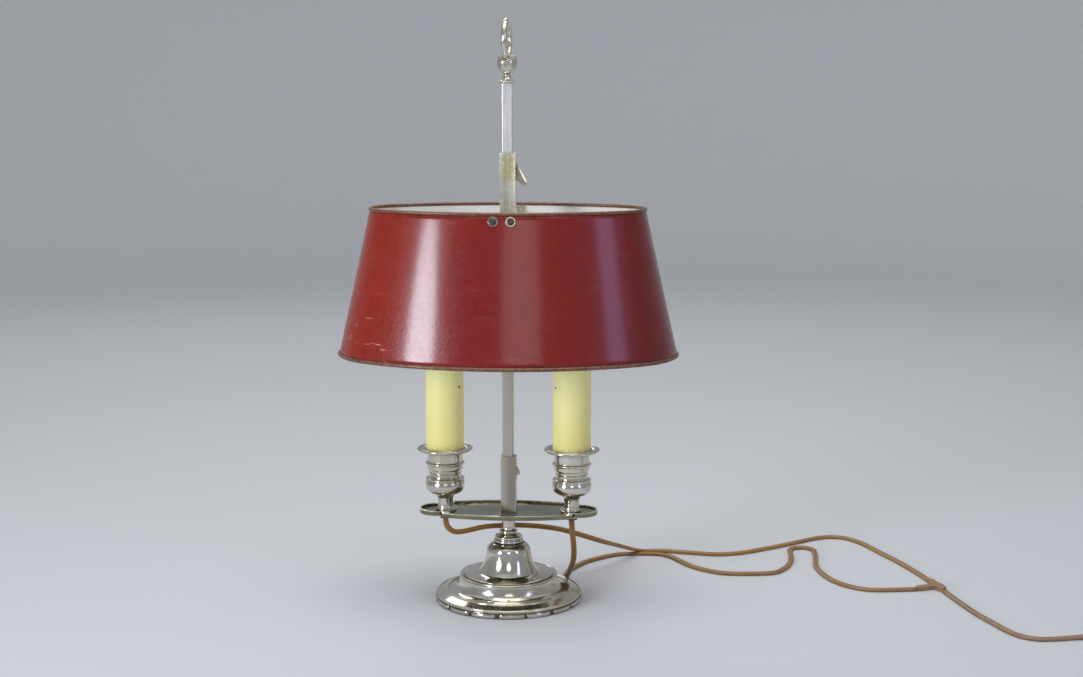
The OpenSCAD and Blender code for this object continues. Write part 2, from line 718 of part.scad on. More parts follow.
module nipple_nuts() color("goldenrod") {
    both_candles() {
        translate([0, 0, plate_z - nipple_washer_t - nut_h])
            hexagon(nut_w, nut_h, nipple_d + 2 * hole_play);
        translate([0, 0, well_z + nipple_washer_t])
            hexagon(nut_w, nut_h, nipple_d + 2 * hole_play);
    }
}

module cord_bushings() color("dimgray") {
    both_candles() translate([0, 0, bushing_z])
        washer(nipple_d + 1, cord_t + 0.4, bushing_h);
}

module inner_wires() color("peru") {
    both_candles() translate([0, 0, bushing_z])
        cylinder(d = cord_t, h = holder_z - bushing_z);
}

module holder() {
    well_r = shell_r + shell_t + 0.05;
    difference() {
        translate([0, 0, holder_z]) cylinder(r = holder_r, h = holder_h);
        translate([0, 0, holder_z + holder_floor_t]) cylinder(r = well_r, h = holder_h);
    }
}

module holder_left() color("ivory") at_candle(-1) holder();
module holder_right() color("ivory") at_candle(1) holder();

module holder_shells() color("goldenrod") {
    both_candles() translate([0, 0, holder_z + holder_floor_t + 2]) difference() {
        cylinder(r = shell_r + shell_t, h = holder_h - holder_floor_t - 4);
        translate([0, 0, -1]) cylinder(r = shell_r, h = holder_h);
    }
}

module holder_contacts() color("goldenrod") {
    both_candles() translate([-4, -2, holder_z + holder_floor_t])
        cube([8, 4, cap_z - 2 - holder_z - holder_floor_t]);
}

module candle_tube() {
    bottom = well_z + contact;
    translate([0, 0, bottom]) washer(tube_d, tube_d - 2 * tube_t, tube_top_z - bottom);
}

// A threaded hole for the small pin that keeps the tube on its holder
module tube_pin_shape(side, extra) {
    at_candle(side) translate([0, 0, tube_pin_z]) rotate([0, 0, side > 0 ? pin_angle : -pin_angle])
        rotate([0, -side * 90, 0]) translate([0, 0, holder_r])
            cylinder(d = 2.2 + extra, h = tube_d / 2 - holder_r + 0.6);
}

module tube_left() color("lemonchiffon") difference() {
    at_candle(-1) candle_tube();
    tube_pin_shape(-1, 0.1);
}
module tube_right() color("lemonchiffon") difference() {
    at_candle(1) candle_tube();
    tube_pin_shape(1, 0.1);
}

module tube_pins() color("goldenrod") {
    for (side = [-1, 1]) tube_pin_shape(side, 0);
}

module bulb_caps() color("silver") {
    both_candles() {
        translate([0, 0, cap_z]) cylinder(d = cap_d, h = cap_h);
        translate([0, 0, cap_z - 2]) cylinder(d1 = 9, d2 = 16, h = 2);
    }
}

module bulb_glass() {
    r = bulb_d / 2;
    neck = cap_d / 2 - 1;
    belly_z = glass_z + bulb_h * 0.4;
    outer = concat(
        bend([neck, glass_z], [neck + 0.6, glass_z + bulb_h * 0.1], [r - 1.6, belly_z - bulb_h * 0.18]),
        bend([r - 0.4, belly_z - bulb_h * 0.1], [r + 0.6, belly_z + bulb_h * 0.04],
             [r - 1.4, belly_z + bulb_h * 0.16]),
        bend([r - 3.4, belly_z + bulb_h * 0.25], [4, glass_z + bulb_h - 8], [2, glass_z + bulb_h - 1]),
        [[0, glass_z + bulb_h]]
    );
    inner = concat(
        [[0, glass_z + bulb_h - 6], [2.6, glass_z + bulb_h - 10]],
        [[r - 3 - glass_t, belly_z + bulb_h * 0.2], [r - glass_t - 0.8, belly_z]],
        [[r - 2.6 - glass_t, belly_z - bulb_h * 0.2], [neck - glass_t, glass_z + 4],
         [neck - glass_t, glass_z]]
    );
    turn(concat(outer, inner));
}

module bulb_glass_left() color("white", 0.4) at_candle(-1) bulb_glass();
module bulb_glass_right() color("white", 0.4) at_candle(1) bulb_glass();

module bulb_filaments() color("orange") {
    both_candles() {
        translate([0, 0, glass_z]) cylinder(r1 = 6, r2 = 2.5, h = 18);
        for (side = [-1, 1])
            translate([side * 1.6, 0, glass_z + 17]) rotate([0, side * 8, 0]) cylinder(d = 0.8, h = 20);
        translate([-5.2, 0, glass_z + 36.6]) rotate([0, 90, 0]) cylinder(d = 1, h = 10.4);
    }
}

// ---- Shade ----

// Turns a wall profile into the four arcs of the oval; x in the profile is the distance out from the top edge
module oval() {
    for (side = [-1, 1]) {
        translate([side * end_x, 0, 0]) rotate([0, 0, side > 0 ? side_angle - 90 : side_angle + 90])
            rotate_extrude(angle = 180 - 2 * side_angle, $fn = 96) translate([shade_end_r, 0]) children();
        translate([0, -side * side_y, 0]) rotate([0, 0, side * 90 - side_angle])
            rotate_extrude(angle = 2 * side_angle, $fn = 96) translate([side_r, 0]) children();
    }
}

// How far the wall's outer face stands out from the top edge at a level
function wall_out(z) = slope * (shade_top_z - z);

// Puts a fastening at each of the four strap screws: its own Z points out of the shade from the wall
module at_strap_screws() {
    for (back = [0, 180], side = [-1, 1])
        rotate([0, 0, back]) translate([0, side_y, 0]) rotate([0, 0, side * screw_angle])
            translate([0, -(side_r + wall_out(screw_z)), screw_z]) rotate([90 - slant, 0, 0])
                children();
}

module shade_shell() color("darkred") {
    difference() {
        oval() {
            polygon([
                [0, shade_top_z], [shade_flare, shade_z],
                [shade_flare - shade_t, shade_z], [-shade_t, shade_top_z]
            ]);
            translate([-shade_t / 2, shade_top_z]) circle(d = rim_d, $fn = 24);
            translate([shade_flare - shade_t / 2, shade_z]) circle(d = rim_d, $fn = 24);
        }
        at_strap_screws() translate([0, 0, -3]) cylinder(d = screw_d + 2 * hole_play, h = 6);
    }
}

// A flat strap across the shade, with a flange at each end that follows the wall
module shade_strap() color("silver") {
    flange_angle = asin(strap_w / 2 / side_r);
    inside = shade_t + 0.05;
    low_out = wall_out(strap_z) - inside;
    high_out = wall_out(flange_top_z) - inside;
    reach = shade_top_d / 2 + low_out - strap_t / 2;
    difference() {
        union() {
            for (back = [0, 180]) rotate([0, 0, back]) translate([0, side_y, 0])
                rotate([0, 0, -90 - flange_angle])
                    rotate_extrude(angle = 2 * flange_angle, $fn = 96) translate([side_r, 0]) polygon([
                        [low_out, strap_z], [high_out, flange_top_z],
                        [high_out - strap_t, flange_top_z], [low_out - strap_t, strap_z]
                    ]);
            translate([-strap_w / 2 + 1, -reach, strap_z]) cube([strap_w - 2, 2 * reach, strap_t]);
        }
        translate([-sleeve_left, -sleeve_left, strap_z - 1])
            cube([sleeve_left + sleeve_right, 2 * sleeve_left, strap_t + 2]);
        at_strap_screws() translate([0, 0, -6]) cylinder(d = screw_d + 2 * hole_play, h = 7);
    }
}

screw_washer_t = 0.8;
strap_nut_h = 3;
strap_nut_gap = (shade_t + strap_t + 0.05) * cos(slant) + 0.08;

module strap_screws() color("dimgray") {
    at_strap_screws() difference() {
        union() {
            translate([0, 0, screw_washer_t]) cylinder(d = screw_head_d, h = screw_head_h * 0.6);
            translate([0, 0, screw_washer_t + screw_head_h * 0.6])
                cylinder(d1 = screw_head_d, d2 = screw_head_d - 2.6, h = screw_head_h * 0.4);
            translate([0, 0, -strap_nut_gap - strap_nut_h - 0.8])
                cylinder(d = screw_d, h = strap_nut_gap + strap_nut_h + 0.8 + screw_washer_t);
        }
        translate([-screw_head_d, -0.5, screw_washer_t + screw_head_h - 1])
            cube([2 * screw_head_d, 1, 2]);
    }
}

module strap_washers() color("silver") {
    at_strap_screws() washer(washer_d, screw_d + 2 * hole_play, screw_washer_t);
}

module strap_nuts() color("silver") {
    at_strap_screws() translate([0, 0, -strap_nut_gap - strap_nut_h])
        hexagon(7, strap_nut_h, screw_d + 2 * hole_play);
}

module upper_sleeve() color("silver") {
    sleeve(upper_sleeve_z, sleeve_top_z, upper_pivot_z, 12.6, 11.6);
}

module upper_lever() color("silver") {
    face = -lever_wall / 2 - sleeve_play + 0.15;
    out = lever_wall / 2;
    lever(upper_pivot_z, concat(
        [[face, -0.4], [face, 8], [out, 10]],
        bend([out + 9.8, -8.2], [out + 12, -12.6], [out + 7.6, -13.2]),
        [[out - 0.3, -6.7], [-0.6, -1.6]]
    ));
}

module upper_lever_pin() color("silver") {
    lever_pin_shape(upper_pivot_z, 0);
}

module upper_lever_spring() color("gray") {
    lever_spring(upper_pivot_z);
}

// ---- Cord set ----

module lead_left() color("sienna") cord_tube(lead_left_route);
module lead_right() color("sienna") cord_tube(lead_right_route);

module main_lead() color("sienna") {
    cord_tube(main_lead_route);
    cord_tube(switch_tail_route);
    cord_tube(plug_tail_route);
}

// The joint of the two leads with the main lead, bound and flat
module lead_splice() color("saddlebrown") {
    last_left = lead_left_route[len(lead_left_route) - 1];
    last_right = lead_right_route[len(lead_right_route) - 1];
    first_main = main_lead_route[0];
    linear_extrude(cord_t + 1.4) hull() {
        translate(splice_at) circle(r = 5, $fn = 32);
        translate([first_main.x - 1, first_main.y + 4]) circle(r = 3.4, $fn = 32);
    }
    for (end = [last_left, last_right])
        linear_extrude(cord_t + 1) hull() {
            translate(splice_at) circle(r = 4, $fn = 32);
            translate([end.x, end.y] + 3.2 * unit(splice_at - [end.x, end.y])) circle(r = 3, $fn = 32);
        }
}

module main_coil() color("sienna") {
    translate([coil_at.x, coil_at.y, 0]) rotate_extrude()
        translate([(coil_d - coil_w) / 2, 0]) square([coil_w, coil_h]);
}

module coil_tie() color("black") {
    gap = 0.3;
    band = 1.2;
    translate([coil_at.x - coil_d / 2, coil_at.y, 0]) rotate([90, 0, 0])
        linear_extrude(7, center = true) difference() {
            translate([-coil_w / 2 - gap - band, 0])
                square([coil_w + 2 * gap + 2 * band, coil_h + gap + band]);
            translate([-coil_w / 2 - gap, -1]) square([coil_w + 2 * gap, coil_h + gap + 1]);
        }
}

// The switch's outline with round corners
module switch_outline() {
    corner = 6;
    for (x = [-1, 1], y = [-1, 1])
        translate([x * (switch_l / 2 - corner), y * (switch_w / 2 - corner)]) circle(r = corner);
    square([switch_l, switch_w - 2 * corner], center = true);
    square([switch_l - 2 * corner, switch_w], center = true);
}
switch_split = switch_h / 2;
switch_wall = 1.8;

module switch_base() color("black") {
    translate([switch_at.x, switch_at.y, 0]) {
        difference() {
            linear_extrude(switch_split) switch_outline();
            translate([-switch_l / 2 + 5, -switch_w / 2 + switch_wall + 3, switch_wall])
                cube([switch_l - 10, switch_w - 2 * switch_wall - 6, switch_h]);
        }
        for (side = [-1, 1]) rotate([0, 0, side > 0 ? 0 : 180])
            translate([switch_l / 2 - 0.2, 0, 4]) rotate([0, 90, 0])
                cylinder(r1 = 4, r2 = 2.6, h = relief_l + 0.2);
    }
}

module switch_cover() color("black") {
    translate([switch_at.x, switch_at.y, 0]) difference() {
        translate([0, 0, switch_split]) linear_extrude(switch_h - switch_split) switch_outline();
        translate([-rocker_l / 2 - 0.6, -rocker_w / 2 - 0.3, switch_split - 1])
            cube([rocker_l + 1.2, rocker_w + 0.6, switch_h]);
        rocker_pin_shape(0);
        for (side = [-1, 1]) translate([side * switch_l * 0.36, 0, switch_h - 1.6])
            cylinder(d = 5.4, h = 3);
        for (side = [-1, 1]) translate([side * switch_l * 0.36, 0, switch_split - 1])
            cylinder(d = 2.6 + 2 * hole_play, h = switch_h);
    }
}

module rocker_pin_shape(extra) {
    translate([0, 0, rocker_pin_z]) rotate([90, 0, 0])
        cylinder(d = rocker_pin_d + extra, h = rocker_w + 5, center = true);
}

// The rocker is two flat wings that meet over the pin
module switch_rocker() color("ivory") {
    half = rocker_l / 2;
    translate([switch_at.x, switch_at.y, 0]) difference() {
        translate([0, rocker_w / 2, rocker_pin_z]) rotate([90, 0, 0]) rotate([0, 0, rocker_tilt])
            linear_extrude(rocker_w) {
                polygon([
                    [-half + 0.5, -1], [half - 0.5, -1], [half - 0.2, 5.4], [0, 3.4], [-half + 0.2, 5.4]
                ]);
                circle(r = 2.6);
            }
        rocker_pin_shape(2 * pin_play);
    }
}

module rocker_pin() color("silver") {
    translate([switch_at.x, switch_at.y, 0]) rocker_pin_shape(0);
}

module cord_screws() color("silver") {
    for (side = [-1, 1]) translate([switch_at.x + side * switch_l * 0.36, switch_at.y, 0]) {
        translate([0, 0, switch_h - 1.6]) cylinder(d = 5, h = 1.2);
        translate([0, 0, switch_split]) cylinder(d = 2.6, h = switch_h - switch_split - 1.6);
    }
    translate([plug_at.x - plug_l / 2, plug_at.y, plug_h - 1]) cylinder(d = 5, h = 0.8);
}

module plug_body() color("black") {
    corner = plug_h / 2;
    translate([plug_at.x, plug_at.y, 0]) difference() {
        union() {
            translate([-plug_l, 0, corner]) rotate([0, 90, 0]) linear_extrude(plug_l) {
                for (side = [-1, 1]) translate([0, side * (plug_w / 2 - corner)]) circle(r = corner);
                square([plug_h, plug_w - 2 * corner], center = true);
            }
            translate([-0.2, 0, corner]) rotate([0, 90, 0])
                cylinder(r1 = cord_r + 3, r2 = cord_r + 0.9, h = plug_relief_l + 0.2);
        }
        translate([-plug_l / 2, 0, plug_h - 1]) cylinder(d = 5.2, h = 3);
        for (side = [-1, 1]) translate([-plug_l - 1, side * plug_pin_spacing / 2, corner])
            rotate([0, 90, 0]) cylinder(d = plug_shank_d, h = plug_shank_l + 1);
    }
}

// Each pin has a thicker shank that is held in the body
module plug_pins() color("goldenrod") {
    for (side = [-1, 1])
        translate([plug_at.x - plug_l, plug_at.y + side * plug_pin_spacing / 2, plug_h / 2])
            rotate([0, 90, 0]) {
                translate([0, 0, -plug_pin_l]) cylinder(d = plug_pin_d, h = plug_pin_l + 1);
                cylinder(d = plug_shank_d, h = plug_shank_l);
            }
}

foot_band();
base_shell();
base_bell();
ballast_weight();
base_cover();
felt_pad();
stem_knop();
stem_bar();
stem_washer();
stem_nut();
finial_urn();
finial_ring();
candle_plate();
lower_sleeve();
lower_lever();
lower_lever_pin();
lower_lever_spring();
nozzle_left();
nozzle_right();
pan_left();
pan_right();
nozzle_nipples();
nipple_washers();
nipple_nuts();
cord_bushings();
inner_wires();
holder_left();
holder_right();
holder_shells();
holder_contacts();
tube_left();
tube_right();
tube_pins();
bulb_glass_left();
bulb_glass_right();
bulb_caps();
bulb_filaments();
shade_shell();
shade_strap();
strap_screws();
strap_washers();
strap_nuts();
upper_sleeve();
upper_lever();
upper_lever_pin();
upper_lever_spring();
lead_left();
lead_right();
lead_splice();
main_lead();
main_coil();
coil_tie();
switch_base();
switch_cover();
switch_rocker();
rocker_pin();
cord_screws();
plug_body();
plug_pins();
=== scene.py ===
# %% [markdown]
# # A bouillotte lamp
# A bouillotte lamp stood on a card table. It has a turned foot, a square stem, two candles on a small
# plate and one oval metal shade that slides down as the candles burn. This one carries electric
# candles, so it also has two leads, a switch and a plug.
#
# The solid model is loaded first as a fixed frame. Most silver pieces are then made again as smooth
# turned or softened meshes, because a polished metal shows every flat facet of a solid model.

# %% Load the packed model and keep its box
import bpy
import bmesh
import math
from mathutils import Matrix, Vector


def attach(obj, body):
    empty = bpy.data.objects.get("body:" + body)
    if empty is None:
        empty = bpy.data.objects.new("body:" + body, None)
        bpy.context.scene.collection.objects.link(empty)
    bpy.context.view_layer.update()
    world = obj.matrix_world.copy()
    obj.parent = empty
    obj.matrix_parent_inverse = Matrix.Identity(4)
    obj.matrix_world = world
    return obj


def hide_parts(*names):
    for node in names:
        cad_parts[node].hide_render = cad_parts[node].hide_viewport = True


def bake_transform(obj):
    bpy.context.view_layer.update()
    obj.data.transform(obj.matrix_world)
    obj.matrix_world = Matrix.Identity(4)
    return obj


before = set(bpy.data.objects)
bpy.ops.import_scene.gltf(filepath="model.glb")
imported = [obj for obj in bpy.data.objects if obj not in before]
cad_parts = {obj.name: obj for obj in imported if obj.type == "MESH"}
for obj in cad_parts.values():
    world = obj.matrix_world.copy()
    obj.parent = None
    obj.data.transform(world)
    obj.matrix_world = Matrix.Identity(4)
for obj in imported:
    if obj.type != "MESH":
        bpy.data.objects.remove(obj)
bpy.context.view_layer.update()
MM = 0.001

# %% [markdown]
# ## Camera
# The lamp is seen from a little right of its front and from the height of its finial, so the oval rims
# of the shade and of the drip pans open only slightly. A long lens keeps the stem's edges parallel.
# The camera comes first, because the cords are laid so that nothing of their stored length shows.

# %% Set up the camera
camera_data = bpy.data.cameras.new("View from the front")
camera_data.sensor_fit = "HORIZONTAL"
camera_data.sensor_width = 36.0
camera_data.lens = 57.17
camera_data.clip_end = 60.0
camera = bpy.data.objects.new("View from the front", camera_data)
bpy.context.collection.objects.link(camera)
camera.location = (0.12781, -1.62398, 0.506)
looking = Vector((-0.05811, 0.98678, -0.15126))
camera.rotation_euler = looking.to_track_quat("-Z", "Y").to_euler()
bpy.context.scene.camera = camera
print("camera at", tuple(camera.location), "lens", camera_data.lens, "mm")

# %% [markdown]
# ## Small tools for meshes
# Every piece is a mesh whose points are written in millimetres, like a workshop drawing, and stored in
# metres. Its object stays at the origin, so a procedural pattern on Object coordinates never slides.
# `place` gives a piece its finish, lets it ride on a moving body and hides the CAD part it stands for.

# %% Helpers that make and place a mesh
def shown(name, mesh):
    mesh.polygons.foreach_set("use_smooth", [True] * len(mesh.polygons))
    piece = bpy.data.objects.new(name, mesh)
    bpy.context.collection.objects.link(piece)
    return piece


def new_piece(name, points, faces, unit=MM):
    mesh = bpy.data.meshes.new(name)
    mesh.from_pydata([[c * unit for c in point] for point in points], [], faces)
    work = bmesh.new()
    work.from_mesh(mesh)
    bmesh.ops.remove_doubles(work, verts=work.verts, dist=1e-7)
    bmesh.ops.recalc_face_normals(work, faces=work.faces)
    work.to_mesh(mesh)
    work.free()
    return shown(name, mesh)


def place(piece, body, finish, cad_node):
    if finish:
        piece.data.materials.clear()
        piece.data.materials.append(finish.material)
    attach(piece, body)
    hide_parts(cad_node)
    return piece


print("helpers ready")

# %% [markdown]
# A curve drawn from three points is the simplest smooth stretch of a turned profile, and a sharp corner
# becomes three short steps, because only a rounded edge can catch a highlight.

# %% Helpers that draw a profile
def curve_point(t, a, b, c):
    return (1 - t) ** 2 * a + 2 * t * (1 - t) * b + t * t * c


def bend(a, b, c, steps=8):
    return [tuple(curve_point(i / steps, *values) for values in zip(a, b, c)) for i in range(steps + 1)]


def arc(cx, cy, radius, start, end, steps=10):
    angles = [math.radians(start + (end - start) * i / steps) for i in range(steps + 1)]
    return [(cx + radius * math.cos(a), cy + radius * math.sin(a)) for a in angles]


SHALLOW = math.radians(14)  # a smaller turn than this is part of a curve and stays as it is
MOST = 0.4  # share of an edge that a rounded corner may take
LONG = 3  # an edge of this many radii gets a supporting point
SUPPORT = 1.9  # how far that point lies from the corner, in lengths of the cut


def soft_corners(points, radius=0.3, closed=True):
    """Rounds each corner of an outline, with a supporting point beside it so that flats stay flat."""
    out = []
    count = len(points)
    for i, here in enumerate(points):
        here = Vector(here)
        if not closed and i in (0, count - 1):
            out.append(tuple(here))
            continue
        before, after = Vector(points[i - 1]) - here, Vector(points[(i + 1) % count]) - here
        if before.length < 1e-6 or after.length < 1e-6:
            continue
        if math.pi - before.angle(after) < SHALLOW:
            out.append(tuple(here))
            continue
        cut = min(radius, MOST * before.length, MOST * after.length)
        a, b = here + before.normalized() * cut, here + after.normalized() * cut
        if before.length > LONG * radius:
            out.append(tuple(here + before.normalized() * cut * SUPPORT))
        out += [tuple(curve_point(t, a, here, b)) for t in (0, 0.33, 0.67, 1)]
        if after.length > LONG * radius:
            out.append(tuple(here + after.normalized() * cut * SUPPORT))
    return out


print("a softened square has", len(soft_corners([(0, 0), (9, 0), (9, 9), (0, 9)])), "points")

# %% A helper that turns a profile on the lathe
def skin(rings, n, around=True, closed=True):
    """Faces between rings of n points; around joins the last ring to the first, closed a ring's two ends."""
    return [(k * n + i, k * n + (i + 1) % n, (k + 1) % rings * n + (i + 1) % n, (k + 1) % rings * n + i)
            for k in range(rings if around else rings - 1) for i in range(n if closed else n - 1)]


def turned(name, profile, centre_x=0, steps=96, closed=True, corner=0.3, lobes=None):
    """profile holds (radius, height) in millimetres; lobes(radius, height, angle) may change both."""
    outline = soft_corners(profile, corner, closed)
    n = len(outline)
    points, faces = [], []
    for k in range(steps):
        angle = 2 * math.pi * k / steps
        for r, z in outline:
            r, z = (r, z) if lobes is None else lobes(r, z, angle)
            points.append((centre_x + r * math.cos(angle), r * math.sin(angle), z))
    for a, b, c, d in skin(steps, n, closed=closed):
        # A face with one end on the axis is a triangle, and one with both ends there has no area
        starts_there, ends_there = outline[a % n][0] < 1e-6, outline[b % n][0] < 1e-6
        if not starts_there and not ends_there:
            faces.append((a, b, c, d))
        elif starts_there != ends_there:
            faces.append((a, b, c) if starts_there else (a, b, d))
    piece = new_piece(name, points, faces)
    where = []
    for vertex in piece.data.vertices:
        where += [math.hypot(vertex.co.x - centre_x * MM, vertex.co.y), vertex.co.z, 0.0]
    piece.data.attributes.new("lathe", "FLOAT_VECTOR", "POINT").data.foreach_set("vector", where)
    return piece


print("the lathe is ready")

# %% [markdown]
# Flat pieces such as the sleeves, the levers and the candle plate already have the right shape in the
# solid model. A copy of such a node is merged into one skin, its coplanar triangles are joined, and a
# Bevel modifier takes off the sharp edges, as a file and a buffing wheel do on the real piece.

# %% Helpers that soften a CAD node's edges
def softened(node, width, name):
    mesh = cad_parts[node].data.copy()
    mesh.name = name
    mesh.transform(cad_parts[node].matrix_world)
    work = bmesh.new()
    work.from_mesh(mesh)
    bmesh.ops.remove_doubles(work, verts=work.verts, dist=3e-6)
    bmesh.ops.dissolve_limit(
        work, angle_limit=math.radians(1.0), verts=work.verts, edges=work.edges, use_dissolve_boundaries=False
    )
    work.to_mesh(mesh)
    work.free()
    mesh.materials.clear()
    piece = shown(name, mesh)
    bevel = piece.modifiers.new("Buffed edges", "BEVEL")
    bevel.width = width * MM
    bevel.segments = 3
    bevel.limit_method = "ANGLE"
    bevel.angle_limit = math.radians(32)
    bevel.harden_normals = True
    return piece


def place_softened(*rows):
    """A row holds the node, its edge's width in mm, body, finish and slot, which is not used; the piece takes the
    node's name.
    """
    return [place(softened(node, width, node.capitalize()), body, finish, node)
            for node, width, body, finish, slot in rows]


print("softening helpers ready")

# %% [markdown]
# ## Cords
# Each candle's lead is a flat twin cord about 5.6 mm wide and 3.6 mm thick. Both leads meet in a bound
# joint, and one main lead runs on through the rocker switch to the plug. What the camera doesn't see
# is put away in a tied coil of four turns. A cord is laid first as a route and then skinned, because
# its length and its bends decide how natural it looks.

# %% Route points in millimetres; a point without a height lies on the table
CANDLE_X = 61.5
LYING = 1.8
lead_left_route = [
    (-61.5, 0, 80.4), (-61.5, 0, 78), (-60.7, 0.4, 72.4), (-58.1, 1.6, 67.9), (-54.2, 3.5, 64.9), (-49.3, 5.9, 63.8),
    (-43, 8.7, 64.1), (-36, 11.5, 65.1), (-26, 15.2, 66.6), (-12, 20.5, 66.8), (7, 28, 65.6), (28, 40, 61.5),
    (48, 54, 55), (67, 72, 45), (87, 97, 32), (104, 124, 20), (115, 143, 12), (122.5, 157, 6.3), (134, 167, 2.2),
    (153, 170), (180, 165), (210, 160), (235, 167), (257, 181), (280, 198), (303, 216), (320, 230), (338, 237),
    (355, 232), (369, 213), (384, 177), (400, 138), (413, 99), (420, 74),
]
lead_right_route = [
    (61.5, 0, 80.4), (61.5, 0, 78), (62, 0, 69), (63, 2, 58), (63.5, 8, 46), (62.5, 17, 34), (59.5, 30, 22),
    (56, 44, 12), (54, 58, 4.5), (53, 74), (56, 92), (64, 110), (76, 129), (106, 154), (142, 158), (158, 151),
    (169, 134), (181, 114), (197, 99), (218, 89), (260, 92), (274, 105), (283, 125), (287.4, 148), (288.4, 165),
    (288.6, 178.4), (290.3, 185.1), (295.1, 189.9), (301.5, 191.7), (307.9, 189.9), (312.7, 185.1), (314.4, 178.4),
    (314.4, 165), (312.5, 144), (311, 120), (315, 93), (325, 66), (342, 47), (362, 40), (402, 45),
]
to_switch = [
    (429, 40), (433, 22), (440, -6), (447, -32), (456, -56), (465, -80), (474, -95), (487, -103), (503, -102),
    (519, -98), (530, -96, 2.6), (537.5, -95.2, 3.7), (544.9, -95, 4), (560, -95, 4), (580, -95, 4), (600, -95, 4),
    (620, -95, 4),
]
to_coil = [
    (635.1, -95, 4), (638.6, -95.1, 3.9), (643.5, -96.9, 3.1), (648.5, -101.3, 2.2), (652, -107.5), (653.4, -115),
    (654, -128), (654, -142),
]
to_plug = [
    (625, -202, 4.4), (614, -210, 2.4), (605, -217.5, 2), (596, -225.6, 4), (587, -229.9, 6.9), (580.1, -230, 7),
    (568, -230, 7),
]
print(len(lead_left_route), len(lead_right_route), len(to_switch), "route points")

# %% [markdown]
# The coil is one line: two turns side by side on the table, then two more on top of them. The line
# changes its radius and its height only over a quarter turn, as real turns do where they cross.

# %% The coil's line
COIL_CENTRE = (618, -165)
COIL_TURNS = 4 + 60 / 360
COIL_COLUMNS = [(34.9, LYING), (29.1, LYING), (29.1, 5.5), (34.9, 5.5), (34.9, 5.5)]  # radius and height of a turn


def circle(radius, turn):
    """A point of a circle, at a share of a full turn."""
    return radius * math.cos(2 * math.pi * turn), radius * math.sin(2 * math.pi * turn)


def coil_line(points_a_turn=22):
    line = []
    count = round(COIL_TURNS * points_a_turn)
    for i in range(count + 1):
        turns = COIL_TURNS * i / count
        layer = min(int(turns), 3)
        step = min(1.0, max(0.0, (turns - layer - 0.75) / 0.25)) if layer < 3 else 0.0
        step = step * step * (3 - 2 * step)
        radius, height = (a * (1 - step) + b * step for a, b in zip(COIL_COLUMNS[layer], COIL_COLUMNS[layer + 1]))
        x, y = circle(radius, -turns)
        line.append((COIL_CENTRE[0] + x, COIL_CENTRE[1] + y, height))
    return line


main_route = to_switch + to_coil + coil_line() + to_plug
print("coil of", round(COIL_TURNS, 2), "turns,", len(main_route), "points in the main lead")

# %% A smooth line through a route
LOWEST = 0.00182  # height of a lying cord's middle, in metres


def smooth_line(route, steps):
    route = [Vector((x / 1000, y / 1000, (z[0] if z else LYING) / 1000)) for x, y, *z in route]
    line = []
    for i in range(len(route) - 1):
        before, a, b, after = route[max(i - 1, 0)], route[i], route[i + 1], route[min(i + 2, len(route) - 1)]
        for s in range(steps):
            t = s / steps
            line.append(0.5 * (2 * a + (b - before) * t + (2 * before - 5 * a + 4 * b - after) * t * t
                               + (3 * a - before - 3 * b + after) * t ** 3))
    line.append(route[-1])
    for point in line:
        point.z = max(point.z, LOWEST)
    return line


def line_length(line):
    return sum((b - a).length for a, b in zip(line, line[1:]))


print("the main lead's line is", round(line_length(smooth_line(main_route, 3)), 3), "m long")

# %% The cord's skin
LOBE, APART, GROOVE = 0.0018, 0.001, 0.00152  # the twin section in metres
NEAR_TABLE, ON_TABLE = 0.034, 0.005  # below these heights the cord starts to turn level, and turns faster
LEVELLING, FASTER = 0.14, 0.3  # the share of the way to level that it turns at each step
STEEP = 0.35  # a cord steeper than this has no level side to turn to


def twin_section():
    """The outline of a flat twin cord: two round lobes with a groove between them."""
    angles = [math.radians(a) for a in range(-75, 76, 25)]
    right = [(APART + LOBE * math.cos(a), LOBE * math.sin(a)) for a in angles]
    left = [(-x, -y) for x, y in right]
    return right + [(0, GROOVE)] + left + [(0, -GROOVE)]


def cord_skin(name, route, steps=5):
    """Sweeps the twin section along a route; near the table its wide side turns level to lie down flat."""
    line = smooth_line(route, steps)
    section = twin_section()
    n, rings = len(section), len(line)
    side = Vector((1, 0, 0))
    points, lengths, along = [], [], 0.0
    for i, here in enumerate(line):
        way = (line[min(i + 1, rings - 1)] - line[max(i - 1, 0)]).normalized()
        side = (side - way * side.dot(way)).normalized()
        level = way.cross(Vector((0, 0, 1)))
        if level.length > STEEP and here.z < NEAR_TABLE:
            level.normalize()
            level = level if level.dot(side) > 0 else -level
            side = side.lerp(level, FASTER if here.z < ON_TABLE else LEVELLING).normalized()
            side = (side - way * side.dot(way)).normalized()
        over = way.cross(side)
        along += (here - line[i - 1]).length if i else 0.0
        for x, y in section:
            corner = here + side * x + over * y
            corner.z = max(corner.z, 0.0)
            points.append(corner)
            lengths.append(along)
    ends = [tuple(range(n))[::-1], tuple((rings - 1) * n + k for k in range(n))]
    piece = new_piece(name, points, skin(rings, n, around=False) + ends, unit=1)
    # The groove points are marked for a painted shade in the cord's finish
    groove_shade = [1.0 if i % n in (n // 2 - 1, n - 1) else 0.0 for i in range(len(points))]
    for label, values in (("along", lengths), ("groove", groove_shade)):
        piece.data.attributes.new(label, "FLOAT", "POINT").data.foreach_set("value", values)
    print(name, "is", round(line_length(line), 3), "m long")
    return piece, line


print(len(twin_section()), "points round the cord")

# %% Skin the three cords
lead_left, left_line = cord_skin("Lead_of_the_left_candle", lead_left_route)
lead_right, right_line = cord_skin("Lead_of_the_right_candle", lead_right_route)
main_lead, main_line = cord_skin("Main_lead_with_its_coil", main_route, steps=3)

